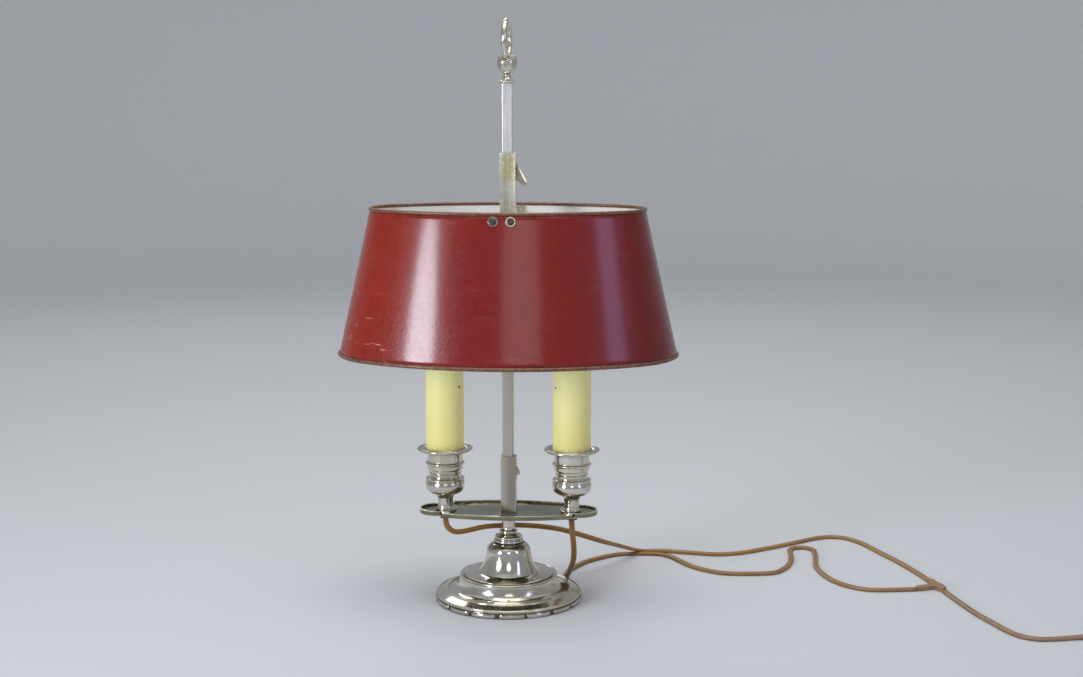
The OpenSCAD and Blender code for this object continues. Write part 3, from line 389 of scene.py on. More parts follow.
# %% [markdown]
# ## Shader tools
# A material here is a small network of nodes. A Recipe adds one node in one line, so that a finish
# reads like a list of ingredients: which noise, how it is spread, and which colour it lays on. The same
# tool fills the node groups and the Geometry Nodes trees.

# %% Recipe: one node in one line
class Recipe:
    """Writes into a node tree; each method adds one node and gives back its output."""

    def __init__(self, tree):
        self.tree = tree

    def add(self, kind, inputs=None, **settings):
        made = self.tree.nodes.new(kind if "Node" in kind else "ShaderNode" + kind)
        for key, value in settings.items():
            setattr(made, key, value)
        for key, value in (inputs or {}).items():
            self.feed(made.inputs[key], value)
        return made

    def feed(self, socket, value):
        if isinstance(value, bpy.types.NodeSocket):
            self.tree.links.new(value, socket)
        else:
            socket.default_value = (*value, 1) if socket.type == "RGBA" else value

    def math(self, operation, a, b=0.0, clamp=False):
        return self.add("Math", {0: a, 1: b}, operation=operation, use_clamp=clamp).outputs[0]

    def times(self, a, b):
        return self.math("MULTIPLY", a, b, clamp=True)

    def plus(self, a, b):
        return self.math("ADD", a, b, clamp=True)

    def minus(self, a, b):
        return self.math("SUBTRACT", a, b, clamp=True)

    def vector(self, operation, a, b=(0, 0, 0)):
        made = self.add("VectorMath", {0: a, 1: b}, operation=operation)
        return made.outputs["Value" if operation in ("LENGTH", "DISTANCE", "DOT_PRODUCT") else "Vector"]

    def mix(self, factor, a, b):
        return self.add("Mix", {0: factor, 6: a, 7: b}, data_type="RGBA").outputs[2]

    def spread(self, value, low, high, to_low=0.0, to_high=1.0):
        return self.add("MapRange", {"Value": value, "From Min": low, "From Max": high,
                                     "To Min": to_low, "To Max": to_high}).outputs["Result"]

    def noise(self, vector, scale, detail=3.0, rough=0.55):
        return self.add(
            "TexNoise", {"Vector": vector, "Scale": scale, "Detail": detail, "Roughness": rough}).outputs[0]

    def attribute(self, name, output="Fac"):
        return self.add("Attribute", attribute_name=name).outputs[output]


print("Recipe can", ", ".join(name for name in vars(Recipe) if name[0] != "_"))

# %% Group: a node group with named inputs
class Group(Recipe):
    """A node group; an input is given by its kind of socket, or by its value if it is a plain number."""

    def __init__(self, family, name, inputs, outputs):
        super().__init__(bpy.data.node_groups.new(name, family + "NodeTree"))
        for way, sockets in (("INPUT", inputs), ("OUTPUT", outputs)):
            for label, value in sockets.items():
                kind = value if isinstance(value, str) else "Float"
                socket = self.tree.interface.new_socket(name=label, in_out=way, socket_type="NodeSocket" + kind)
                if value != kind:
                    socket.default_value = value
        self.given = self.tree.nodes.new("NodeGroupInput").outputs
        self.result = self.tree.nodes.new("NodeGroupOutput").inputs


print("groups ready")

# %% Finish: a material that grows layer by layer
class Finish(Recipe):
    """A material; its tone grows layer by layer, and at is the place on the object."""

    def __init__(self, name, tone=None, **inputs):
        self.material = bpy.data.materials.new(name)
        self.material.use_nodes = True
        super().__init__(self.material.node_tree)
        self.tone = tone
        self.set(**inputs)
        self.at = self.add("TexCoord").outputs["Object"]

    def set(self, **inputs):
        """Feeds the shader's inputs; an underscore stands for a space in an input's name."""
        for key, value in inputs.items():
            self.feed(self.tree.nodes["Principled BSDF"].inputs[key.replace("_", " ")], value)

    def layer(self, mask, colour, strength=1):
        """Lays a colour over the tone so far where the mask lets it."""
        self.tone = self.mix(mask if strength == 1 else self.times(mask, strength), self.tone, colour)
        self.set(Base_Color=self.tone)

    def effect(self, group, output="Mask", **inputs):
        made = self.add("Group", node_tree=group.tree)
        for key, value in {"Place": self.at, **inputs}.items():
            self.feed(made.inputs[key.replace("_", " ")], value)
        return made.outputs[output]

    def tarnish(self, output, scale):
        return self.effect(tarnish_clouds, output, Scale=scale)

    def axis(self, name):
        return self.add("SeparateXYZ", {"Vector": self.at}).outputs[name]

    def stretched(self, *scale):
        return self.add("Mapping", {"Vector": self.at, "Scale": scale}).outputs[0]

    def bump(self, height, strength, distance):
        made = self.add("Bump", {"Strength": strength, "Distance": distance, "Height": height})
        self.set(Normal=made.outputs[0])


print("finishes ready")

# %% [markdown]
# ## Floor and light
# A round pale studio cove stands far out on every side, so each view has the same plain ground. An
# upright oval light on the left draws the long highlight on the shade. A narrow bluish one draws a
# faint strip on the right, a wide one in front lights the sleeves, and two fill in from above and
# behind.

# %% Cove, lamps and world
COVE_STEPS = 72
LAMP_MIDDLE = Vector((0, 0, 0.28))


def stage_cove():
    profile = [(0.001, 0), (1.2, 0), (2.6, 0)] + arc(2.9, 1.3, 1.3, -90, 0) + [(4.2, 3.4)]  # in metres
    points = [(*circle(r, k / COVE_STEPS), z) for k in range(COVE_STEPS) for r, z in profile]
    cove = new_piece("Studio_cove", points, skin(COVE_STEPS, len(profile), closed=False), unit=1)
    paint = Finish("Pale grey cove", (0.56, 0.57, 0.585), Roughness=0.9)
    paint.layer(paint.spread(paint.vector("LENGTH", paint.at), 1.3, 4.2), (0.72, 0.73, 0.745))
    cove.data.materials.append(paint.material)


def soft_light(name, place_at, width, height, watts, colour=(1, 1, 1), shape="RECTANGLE", opening=180):
    """Aims a soft box at the lamp; a narrow opening keeps its light off the floor right below it."""
    lamp = bpy.data.lights.new(name, "AREA")
    lamp.shape, lamp.size, lamp.size_y, lamp.energy, lamp.color = shape, width, height, watts, colour
    lamp.spread = math.radians(opening)
    holder = bpy.data.objects.new(name, lamp)
    bpy.context.collection.objects.link(holder)
    holder.location = place_at
    holder.rotation_euler = (LAMP_MIDDLE - Vector(place_at)).to_track_quat("-Z", "Y").to_euler()


stage_cove()
soft_light("Oval light on the left", (-1.16, -1.215, 0.56), 0.42, 0.70, 4.6, (0.84, 0.89, 1.0), "ELLIPSE", 100)
soft_light("Narrow light on the right", (1.487, -1.183, 0.90), 0.32, 1.1, 1.05, (0.56, 0.52, 1.0), opening=100)
soft_light("Wide light in front", (0.24, -2.6, 1.12), 0.85, 1.0, 1.5, (1.0, 0.97, 0.94), "ELLIPSE", 120)
soft_light("Light overhead", (0.0, -0.2, 2.3), 1.6, 1.6, 24)
soft_light("Light behind", (-0.5, 2.2, 1.9), 1.5, 1.0, 4.5, opening=120)
world = bpy.data.worlds.new("Studio air")
bpy.context.scene.world = world
world.use_nodes = True
world.node_tree.nodes["Background"].inputs["Color"].default_value = (0.86, 0.88, 0.92, 1)
world.node_tree.nodes["Background"].inputs["Strength"].default_value = 0.58
bpy.context.scene.view_settings.view_transform = "Standard"
print("cove and five soft lights")

# %% [markdown]
# Five effects come back in many finishes: edges rubbed bright, recesses that no cloth reaches, darkened
# by tarnish and by painted shade, cloudy tarnish, fine rings from the lathe and long straight scratches.
# Each is one node group with named inputs, placed in a material with its own values, so one change
# improves every metal at once.

# %% Worn edges: where a rounded normal leaves the true one, the plate is rubbed through
worn_edges = edge = Group(
    "Shader", "Worn edges", {"Place": "Vector", "Width": 0.0012, "Patch scale": 90.0}, {"Mask": "Float"})
rounded = edge.add("Bevel", {"Radius": edge.given["Width"]}, samples=4).outputs[0]
agree = edge.vector("DOT_PRODUCT", rounded, edge.add("NewGeometry").outputs["Normal"])
patchy = edge.spread(edge.noise(edge.given["Place"], edge.given["Patch scale"]), 0.34, 0.6)
edge.feed(edge.result["Mask"], edge.times(edge.spread(agree, 0.999, 0.93), patchy))
print(worn_edges.tree.name, "from", len(edge.tree.nodes), "nodes")

# %% Dark recesses: where little open sky is near, tarnish that is never polished away and painted shade darken the plate
recesses = deep = Group(
    "Shader", "Dark recesses", {"Place": "Vector", "Reach": 0.003, "Patch scale": 60.0}, {"Mask": "Float"})
open_sky = deep.add("AmbientOcclusion", {"Distance": deep.given["Reach"]}, samples=6).outputs["AO"]
patchy = deep.spread(deep.noise(deep.given["Place"], deep.given["Patch scale"]), 0.3, 0.6, 0.55, 1.0)
deep.feed(deep.result["Mask"], deep.times(deep.spread(open_sky, 0.86, 0.40), patchy))
print(recesses.tree.name, "from", len(deep.tree.nodes), "nodes")

# %% Tarnish clouds, lathe rings and long scratches
tarnish_clouds = cloud = Group(
    "Shader", "Tarnish clouds", {"Place": "Vector", "Scale": 30.0}, {"Broad": "Float", "Fine": "Float"})
place_in, scale = cloud.given["Place"], cloud.given["Scale"]
cloud.feed(cloud.result["Broad"], cloud.spread(cloud.noise(place_in, scale, 4.0), 0.36, 0.66))
small = cloud.math("MULTIPLY", scale, 9.0)
cloud.feed(cloud.result["Fine"], cloud.spread(cloud.noise(place_in, small, 5.0, 0.7), 0.42, 0.72))

lathe_rings = ring = Group("Shader", "Lathe rings", {"Place": "Vector", "Scale": 900.0}, {"Height": "Float"})
ring.feed(ring.result["Height"], ring.noise(ring.given["Place"], ring.given["Scale"], 2.0, 0.6))

long_scratches = line = Group("Shader", "Long scratches", {"Place": "Vector", "Scale": 220.0}, {"Mask": "Float"})
line.feed(line.result["Mask"], line.spread(line.noise(line.given["Place"], line.given["Scale"], 2.0, 0.5), 0.62, 0.72))
print("node groups:", [g.name for g in bpy.data.node_groups])

# %% [markdown]
# ## Silver plate
# The base, stem and nozzles are brass with a thin silver plate. Decades of polishing leave it bright on
# the flats, yellow where the plate is thin and coppery on the edges. Turned pieces carry faint rings
# from the lathe, and drawn or filed ones carry long scratches, so the recipe takes the marks as a choice.

# %% The silver plate recipe
def silver(name, marks="rings", warm=0.5, worn=0.8, bright=(0.79, 0.77, 0.71), tint=(0.44, 0.37, 0.20),
           edge_tone=(0.66, 0.50, 0.28), satin=0.0, stretch=(1, 1, 0.02)):
    plate = Finish(name, bright, Metallic=1.0)
    clouds, specks = plate.tarnish("Broad", 26.0), plate.tarnish("Fine", 30.0)
    plate.layer(clouds, tint, warm)
    plate.layer(specks, (0.30, 0.27, 0.20), 0.22)
    plate.layer(plate.effect(worn_edges, Width=0.0011, Patch_scale=70.0), edge_tone, worn)
    # Recesses are darkened partly by tarnish and partly by painted shade
    plate.layer(plate.effect(recesses, Reach=0.006, Patch_scale=70.0), (0.075, 0.062, 0.04), 0.85)
    scratches = plate.effect(long_scratches, Place=plate.stretched(*stretch), Scale=700.0)
    rough = plate.plus(plate.spread(clouds, 0, 1, 0.055 + satin, 0.15 + satin), plate.spread(specks, 0, 1, 0, 0.10))
    plate.set(Roughness=plate.plus(rough, plate.spread(scratches, 0, 1, 0, 0.12)))
    if marks == "rings":
        plate.bump(plate.effect(lathe_rings, "Height", Place=plate.attribute("lathe", "Vector"), Scale=1500.0),
                   0.10, 0.0001)
    else:
        plate.bump(plate.plus(scratches, plate.spread(clouds, 0, 1, 0, 0.6)), 0.14, 0.0001)
    return plate


silver_turned = silver("Silver plate, turned")
silver_dark = silver("Silver plate, turned and tarnished", warm=0.75, tint=(0.38, 0.31, 0.17))
silver_small = silver("Silver plate, small flat pieces", "scratches", warm=0.6, bright=(0.82, 0.80, 0.70),
                      tint=(0.50, 0.43, 0.22))
# Near-black silver for the foot ring behind the lappets: tarnish, and painted shade where the lappets keep the light
# out
silver_tarnish_and_painted_shade = silver("Silver plate, never polished", warm=0.9, worn=0.3, bright=(0.24, 0.21, 0.15),
                       tint=(0.13, 0.10, 0.06))

# Below the shade the bar turns towards a warm dull grey, fading in from 0.33 m down to 0.25 m
silver_drawn = silver("Silver plate, drawn bar", "scratches", warm=0.3, bright=(0.93, 0.92, 0.95),
                      tint=(0.55, 0.49, 0.36), satin=0.2)
silver_drawn.layer(silver_drawn.spread(silver_drawn.axis("Z"), 0.33, 0.25, 0, 0.75), (0.47, 0.41, 0.34))

# The plate's dark olive tone and its darker floor are a painted reflection of dark surroundings, and the bright top of
# its rim is a painted highlight
plate_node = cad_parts["candle_plate"]
PLATE_FLOOR, PLATE_RIM = 0.088, max((plate_node.matrix_world @ Vector(c)).z for c in plate_node.bound_box)
silver_flat_painted_reflection = silver("Silver plate, flat plate", "scratches", warm=0.85, bright=(0.38, 0.37, 0.25),
                     tint=(0.19, 0.185, 0.09), edge_tone=(0.80, 0.76, 0.55), stretch=(0.05, 1, 1))
height = silver_flat_painted_reflection.axis("Z")
silver_flat_painted_reflection.layer(silver_flat_painted_reflection.spread(height, PLATE_FLOOR + 0.0012, PLATE_FLOOR), (0.14, 0.135, 0.09), 0.45)
silver_flat_painted_reflection.layer(silver_flat_painted_reflection.spread(height, PLATE_RIM - 0.0007, PLATE_RIM - 0.0002), (0.86, 0.82, 0.62), 0.85)
print("silver plate in six variants, plate rim at", round(PLATE_RIM, 5))

# %% Sleeves: the same plate with a patch rubbed through to brass
def rubbed_silver(name, patch_centre, patch_size, gold, bright, satin):
    sleeve = silver(name, "scratches", warm=0.35, worn=1.0, bright=bright, satin=satin, edge_tone=(0.90, 0.86, 0.74))
    away = sleeve.vector("DIVIDE", sleeve.vector("SUBTRACT", sleeve.at, patch_centre), patch_size)
    ragged = sleeve.spread(sleeve.noise(sleeve.at, 330.0, 5.0, 0.75), 0.2, 0.8, -0.7, 0.7)
    ragged = sleeve.math("ADD", sleeve.vector("LENGTH", away), ragged)
    sleeve.layer(sleeve.spread(ragged, 1.2, 0.4, 0.0, 0.85), gold)
    return sleeve


upper_sleeve_finish = rubbed_silver("Silver plate, rubbed to brass", (0.001, -0.008, 0.419), (0.0095, 0.005, 0.019),
                                    (0.64, 0.59, 0.27), (0.95, 0.94, 0.89), 0.16)
lower_sleeve_finish = rubbed_silver("Silver plate, rubbed to copper", (0.0088, -0.007, 0.128), (0.0024, 0.004, 0.018),
                                    (0.70, 0.46, 0.26), (0.54, 0.50, 0.46), 0.06)
print("rubbed patches on", upper_sleeve_finish.material.name, "and", lower_sleeve_finish.material.name)

# %% [markdown]
# ## Lacquer of the shade
# A tole shade is tinned sheet iron with several coats of red lacquer outside and ivory paint inside.
# The lacquer is glossy but never quite even, so a coat layer gives the sharp highlight, a wide soft
# bump lets it waver, and rubs, scratches and chips lead down to dark undercoat near the rims. An
# attribute on the mesh says which skin is the inside, so one material can carry both paints.

# %% The lacquer recipe
RUBBED_PLACE = (-0.128, -0.072, 0.262)  # low on the left, where hands take hold of the shade

lacquer = coat = Finish("Red lacquer outside and ivory inside", Specular_IOR_Level=0.2, Coat_Roughness=0.135)
inside = coat.attribute("inside")
clouds, specks = coat.tarnish("Broad", 9.0), coat.tarnish("Fine", 22.0)
painted_light_across, height = coat.axis("X"), coat.axis("Z")
coat.tone = coat.mix(clouds, (0.190, 0.0075, 0.0055), (0.225, 0.0105, 0.0045))
# Painted light and shade: lighter orange red towards the left, where the oval light stands, and darker maroon towards
# the right
coat.layer(coat.spread(painted_light_across, -0.03, -0.15, 0, 0.75), (0.285, 0.0165, 0.0035))
coat.layer(coat.spread(painted_light_across, 0.03, 0.16, 0, 0.85), (0.125, 0.0065, 0.0055))
streaks = coat.noise(coat.stretched(1, 1, 0.03), 190.0, 3.0)
coat.layer(coat.spread(streaks, 0.5, 0.75, 0, 0.3), (0.125, 0.007, 0.006))
rubs = coat.effect(long_scratches, Place=coat.stretched(0.15, 0.15, 1), Scale=260.0)
near_rubs = coat.times(coat.spread(coat.vector("DISTANCE", coat.at, RUBBED_PLACE), 0.042, 0.012, 0, 1.8), rubs)
rubbed = coat.plus(near_rubs, coat.times(rubs, 0.07))
coat.layer(rubbed, (0.56, 0.25, 0.18))
near_rims = coat.plus(coat.spread(height, 0.2505, 0.2450), coat.spread(height, 0.3755, 0.3795))
chips = coat.times(near_rims, coat.spread(coat.noise(coat.at, 85.0, 5.0, 0.75), 0.56, 0.61))
coat.layer(chips, (0.07, 0.03, 0.018))
coat.layer(inside, coat.mix(coat.times(specks, 0.25), (0.97, 0.96, 0.90), (0.82, 0.77, 0.62)))
gloss = coat.plus(coat.spread(specks, 0, 1, 0.24, 0.36), coat.times(rubbed, 0.3))
coat.set(Roughness=coat.plus(gloss, coat.times(inside, 0.25)),
         Coat_Weight=coat.minus(coat.minus(0.6, chips), coat.times(inside, 0.6)))
waver = coat.times(coat.noise(coat.at, 13.0, 2.0), 0.9)
dents = coat.times(coat.noise(coat.stretched(1, 1, 0.3), 42.0, 2.0), 0.19)
pitted = coat.times(coat.noise(coat.at, 420.0, 2.0), coat.spread(height, 0.36, 0.26, 0.02, 0.24))
coat.bump(coat.plus(coat.plus(waver, dents), pitted), 0.55, 0.0016)
print(lacquer.material.name, "from", len(coat.tree.nodes), "nodes")

# %% Rims: brown lacquer worn down to yellow metal
rim_finish = rim = Finish("Rim lacquer worn to metal")
clouds, specks = rim.tarnish("Broad", 45.0), rim.tarnish("Fine", 40.0)
rim.tone = rim.mix(clouds, (0.12, 0.026, 0.015), (0.15, 0.068, 0.028))
rim.layer(specks, (0.33, 0.22, 0.12), 0.6)
rim.set(Metallic=rim.times(specks, 0.7), Roughness=rim.spread(specks, 0, 1, 0.26, 0.44))
rim.bump(specks, 0.3, 0.0002)
print(rim_finish.material.name, "from", len(rim.tree.nodes), "nodes")

# %% [markdown]
# ## Plainer finishes
# The small and hidden parts get their own finishes too: brass, steel, blackened steel, cast iron, felt,
# glazed porcelain and moulded plastic. They share one recipe of two colours, a cloudy mask between
# them, a spread of roughness and a little grain, because such parts differ mostly in those numbers.

# %% One recipe for the plainer finishes
def plain(name, light, dark, metallic, rough, scale, grain, depth=0.0001, wear=None, **more):
    kind = Finish(name, light, Metallic=metallic, **more)
    clouds, specks = kind.tarnish("Broad", scale), kind.tarnish("Fine", scale * 2.5)
    kind.layer(kind.plus(kind.times(clouds, 0.7), kind.times(specks, 0.3)), dark)
    if wear:
        kind.layer(kind.effect(worn_edges, Width=0.0009, Patch_scale=160.0), wear, 0.8)
    kind.set(Roughness=kind.spread(specks, 0, 1, *rough))
    kind.bump(kind.noise(kind.at, grain, 4.0, 0.65), 0.25, depth)
    return kind


brass = plain("Brass", (0.70, 0.50, 0.20), (0.42, 0.27, 0.10), 1.0, (0.16, 0.34), 60, 900, 0.00005)
steel = plain("Plain steel", (0.52, 0.52, 0.53), (0.30, 0.29, 0.28), 1.0, (0.22, 0.42), 80, 1200, 0.00005)
dark_steel = plain("Blackened steel", (0.035, 0.032, 0.032), (0.075, 0.05, 0.035), 0.35, (0.25, 0.45), 120, 1400,
                   0.00008, (0.30, 0.28, 0.25))
cast_iron = plain("Cast iron", (0.07, 0.07, 0.075), (0.12, 0.08, 0.06), 0.5, (0.55, 0.8), 60, 500, 0.0005)
porcelain = plain("Glazed porcelain", (0.82, 0.80, 0.75), (0.74, 0.70, 0.62), 0.0, (0.1, 0.2), 50, 300,
                  Coat_Weight=0.5)
black_plastic = plain("Black moulded plastic", (0.018, 0.018, 0.019), (0.03, 0.029, 0.028), 0.0, (0.28, 0.46), 70,
                      1600, 0.00006, (0.07, 0.07, 0.07))
ivory_plastic = plain("Ivory moulded plastic", (0.74, 0.68, 0.54), (0.64, 0.56, 0.40), 0.0, (0.2, 0.34), 90, 1200,
                      0.00004, (0.55, 0.46, 0.32))
felt = plain("Green felt", (0.02, 0.085, 0.035), (0.035, 0.12, 0.06), 0.0, (0.85, 0.95), 300, 2600, 0.0008,
             Sheen_Weight=0.35)
tape = plain("Brown binding tape", (0.33, 0.19, 0.09), (0.22, 0.12, 0.06), 0.0, (0.5, 0.7), 70, 260, 0.0006,
             (0.42, 0.30, 0.18))
print("nine plainer finishes")

# %% [markdown]
# ## Candle tubes
# The candles are cream-coloured sleeves over the lampholders. Old ones are yellow, a little waxy and dirty at the
# foot; a painted light from above makes the tube paler towards its top. Subsurface light gives the waxy depth.

# %% The tube's finish
wax = Finish("Cream candle tube", Subsurface_Weight=0.25, Subsurface_Radius=(0.9, 0.6, 0.25), Subsurface_Scale=0.004)
clouds, specks, height = wax.tarnish("Broad", 16.0), wax.tarnish("Fine", 35.0), wax.axis("Z")
runs = wax.noise(wax.stretched(1, 1, 0.05), 260.0, 2.0)
# Painted light: the tube is painted paler towards its top, as if lit from above
wax.tone = wax.mix(wax.spread(height, 0.150, 0.245), (0.96, 0.84, 0.29), (0.98, 0.92, 0.47))
wax.layer(clouds, (0.88, 0.72, 0.23), 0.3)
wax.layer(wax.spread(runs, 0.52, 0.74, 0, 0.25), (0.94, 0.87, 0.50))
wax.layer(wax.times(wax.spread(height, 0.156, 0.148), specks), (0.30, 0.20, 0.08), 0.6)
wax.set(Roughness=wax.spread(specks, 0, 1, 0.38, 0.55))
wax.bump(runs, 0.25, 0.0002)
print(wax.material.name, "from", len(wax.tree.nodes), "nodes")

# %% Bulb glass, filament and cord
glass = Finish("Clear bulb glass", Base_Color=(1, 1, 1), Transmission_Weight=1.0, IOR=1.46)
glass.set(Roughness=glass.spread(glass.tarnish("Fine", 14.0), 0, 1, 0.01, 0.06))
glass.bump(glass.noise(glass.at, 60.0, 2.0), 0.08, 0.0002)

filament = Finish("Support glass and filament", (0.80, 0.79, 0.74), Roughness=0.25)
filament.layer(filament.tarnish("Fine", 60.0), (0.55, 0.50, 0.42))


def cord_finish(name, bright, dull, far, from_x, to_x):
    """An old plastic cord is brown where it is handled and greyer towards its far end."""
    cord = Finish(name, bright)
    bands = cord.noise(cord.add("CombineXYZ", {"X": cord.attribute("along")}).outputs[0], 24.0, 4.0)
    specks = cord.tarnish("Fine", 45.0)
    cord.layer(cord.spread(bands, 0.36, 0.66), dull)
    cord.layer(cord.spread(cord.axis("X"), from_x, to_x, 0.0, 0.85), far)
    cord.layer(specks, (0.20, 0.12, 0.06), 0.35)
    # Painted shade: the groove between the two lobes is darkened
    cord.layer(cord.attribute("groove"), (0.09, 0.045, 0.016), 0.55)
    cord.set(Roughness=cord.spread(specks, 0, 1, 0.30, 0.52))
    cord.bump(cord.plus(bands, specks), 0.2, 0.0002)
    return cord


amber_cord = cord_finish("Amber twin cord", (0.41, 0.205, 0.03), (0.30, 0.135, 0.02), (0.28, 0.165, 0.065), 0.25, 0.45)
brown_cord = cord_finish("Brown twin cord", (0.33, 0.16, 0.028), (0.23, 0.10, 0.02), (0.30, 0.22, 0.15), 0.25, 0.60)
print("glass, filament and two cord finishes")

# %% [markdown]
# ## Cords in place
# The leads replace the round stand-ins of the solid model, which are hidden. Each lead leaves the candle
# plate, which can be pushed up 45 mm, and a real lead straightens when the plate goes up. Here the two
# leads stay where they are laid, and the main lead rides on the base.

for cord_piece, cord_material in ((lead_left, amber_cord), (lead_right, brown_cord), (main_lead, brown_cord)):
    cord_piece.data.materials.append(cord_material.material)
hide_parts("lead_left")
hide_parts("lead_right")
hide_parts("main_lead", "main_coil")
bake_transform(lead_left)
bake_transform(lead_right)
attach(main_lead, "base")

# %% [markdown]
# ## The base
# The base is spun and turned brass: a foot band cut into sixteen lappets, a shell with three beads, a
# bell and a knop. Each is one profile swept round the axis. The profile is drawn here with the true
# round beads, because the line of light along a bead is what makes a turned base look crisp.

# %% Base shell, bell and knop
shell_profile = (
    [(70.9, 6.0), (70.9, 6.9)] + arc(69.7, 7.2, 1.15, 0, 150) + arc(60.1, 10.65, 1.1, -8, 190)
    + bend((58.8, 10.7), (49.5, 11.2), (48.3, 17.9)) + [(47.1, 22.4)] + arc(46.5, 24.6, 1.1, -60, 140)
    + [(45.0, 25.0), (30, 25.0), (30, 23.8), (45.0, 23.7), (47.0, 17.2), (47.9, 12.0), (50.1, 10.0), (60.1, 9.5),
       (68.4, 6.0)]
)
bell_profile = (
    [(43.6, 25.0), (43.6, 26.2), (42.4, 26.4), (41.4, 26.3)] + bend((37.6, 26.5), (29.9, 26.6), (28.3, 28.4))
    + bend((27.3, 30), (22.9, 37.4), (21.5, 47.9)) + bend((21.3, 49.5), (20.3, 54.1), (15.3, 56))
    + [(6, 56), (6, 54.4), (13.9, 53.8), (18.9, 51.9), (20.1, 43.9), (23.5, 32.4), (26.3, 27.4), (35.6, 25)]
)
knop_profile = (
    [(4.1, 56), (13.4, 56)] + arc(13.1, 58.6, 1.5, -70, 70) + [(13.5, 60.8)] + arc(12, 62, 1.3, -40, 100)
    + bend((11.2, 63.6), (8.3, 64.4), (7.7, 66.3)) + arc(7.3, 67.6, 1.4, -50, 60)
    + bend((7.2, 69.4), (6.3, 70.6), (6.3, 74.6)) + bend((6.3, 77), (6.7, 80.6), (9.68, 81.8)) + [(9.68, 83), (4.1, 83)]
)
for node, profile, steps, finish in (
        ("base_shell", shell_profile, 160, silver_turned), ("base_bell", bell_profile, 128, silver_dark),
        ("stem_knop", knop_profile, 96, silver_turned)):
    piece = place(turned(node.capitalize(), profile, steps=steps), "base", finish, node)
    print(piece.name, len(piece.data.vertices), "points")

# %% [markdown]
# ## Sixteen lappets
# The edge of the foot is a ring of rounded tabs. One tab is modelled, and Geometry Nodes repeat it round
# the axis: each copy is turned by its index and by a trace of unevenness, and the copies are made real
# with the silver finish. The count and the first angle stay inputs, so another foot is two numbers
# away.

# %% One lappet: a convex tab with soft ends
LAPPETS = 16
LAPPET_HALF = math.radians(10.45)  # half of a tab's width, as an angle
LAPPET_END = 0.2  # share of that half which rounds off towards the gap


def one_lappet(columns=14):
    points = []
    for k in range(columns + 1):
        t = k / columns * 2 - 1
        angle, end = LAPPET_HALF * t, max(0.0, (abs(t) - (1 - LAPPET_END)) / LAPPET_END)
        crown = 0.9 * (1 - t * t) - end * end
        low, high = 0.05 + 0.9 * end * end, 4.75 - 0.15 * end
        section = [(68.9, low), (70.0 + crown, low), (70.45 + crown, low + 0.35), (70.6 + crown, low + 1.1),
                   (70.55 + crown, 3.3), (70.2 + crown, high - 0.35), (69.5 + crown, high), (68.9, high)]
        points += [(r * math.cos(angle), r * math.sin(angle), z) for r, z in section]
    n = len(section)
    ends = [tuple(range(n)), tuple(columns * n + i for i in range(n))]
    tab = new_piece("One_lappet", points, skin(columns + 1, n, around=False) + ends)
    subdivide = tab.modifiers.new("Round it", "SUBSURF")
    subdivide.levels = subdivide.render_levels = 1
    return tab


tab = one_lappet()
print("one lappet has", len(tab.data.vertices), "points")

# %% A tree that repeats a piece round a circle
def put_copies(tree, **places):
    """Puts the piece on every point, makes the copies real and gives them their finish."""
    source = tree.add("GeometryNodeObjectInfo", {"Object": tree.given["Piece"]}).outputs["Geometry"]
    copies = tree.add("GeometryNodeInstanceOnPoints", {**places, "Instance": source}).outputs[0]
    real = tree.add("GeometryNodeRealizeInstances", {"Geometry": copies}).outputs[0]
    finished = tree.add("GeometryNodeSetMaterial", {"Geometry": real, "Material": tree.given["Finish"]})
    tree.feed(tree.result[0], finished.outputs[0])


def random_value(tree, low, high):
    return tree.add("FunctionNodeRandomValue", {2: low, 3: high, "Seed": tree.given["Seed"]},
                    data_type="FLOAT").outputs[1]


wheel = Group("Geometry", "Repeat round a circle",
              {"Geometry": "Geometry", "Piece": "Object", "Count": "Int", "First angle": "Float",
               "Uneven turn": "Float", "Seed": "Int", "Finish": "Material"}, {"Geometry": "Geometry"})
count = wheel.given["Count"]
index = wheel.add("GeometryNodeInputIndex").outputs[0]
share = wheel.math("DIVIDE", wheel.math("MULTIPLY", index, 2 * math.pi), count)
uneven = wheel.math("MULTIPLY", random_value(wheel, -1.0, 1.0), wheel.given["Uneven turn"])
turn = wheel.math("ADD", wheel.math("ADD", share, wheel.given["First angle"]), uneven)
put_copies(wheel, Points=wheel.add("GeometryNodePoints", {"Count": count}).outputs[0],
           Rotation=wheel.add("CombineXYZ", {"Z": turn}).outputs[0])
print(wheel.tree.name, "from", len(wheel.tree.nodes), "nodes")

# %% Run a tree once and keep its result as a plain mesh
def baked(piece):
    """The mesh that an object's modifiers give."""
    ready = bpy.context.evaluated_depsgraph_get()
    return bpy.data.meshes.new_from_object(piece.evaluated_get(ready), depsgraph=ready)


def grown(name, group, start=None, **values):
    holder = bpy.data.objects.new(name + "_start", start or bpy.data.meshes.new(name + "_start"))
    bpy.context.collection.objects.link(holder)
    modifier = holder.modifiers.new("Nodes", "NODES")
    modifier.node_group = group.tree
    for socket in group.tree.interface.items_tree:
        if socket.in_out == "INPUT" and socket.name.replace(" ", "_") in values:
            modifier[socket.identifier] = values[socket.name.replace(" ", "_")]
    mesh = baked(holder)
    mesh.name = name
    bpy.data.objects.remove(holder)
    print(name, "has", len(mesh.polygons), "faces")
    return shown(name, mesh)


lappets = grown("Foot_lappets", wheel, Piece=tab, Count=LAPPETS, First_angle=math.radians(-83.25),
                Uneven_turn=0.006, Seed=4, Finish=silver_turned.material)
bpy.data.objects.remove(tab)
place(lappets, "base", None, "foot_band")
foot_ring = turned("Foot_ring", [(68.5, 0.4), (69.1, 0.4), (69.3, 3.4), (69.6, 4.5), (71.1, 4.7), (71.4, 5.2),
                                 (71.2, 5.9), (68.5, 6.0)], steps=160)
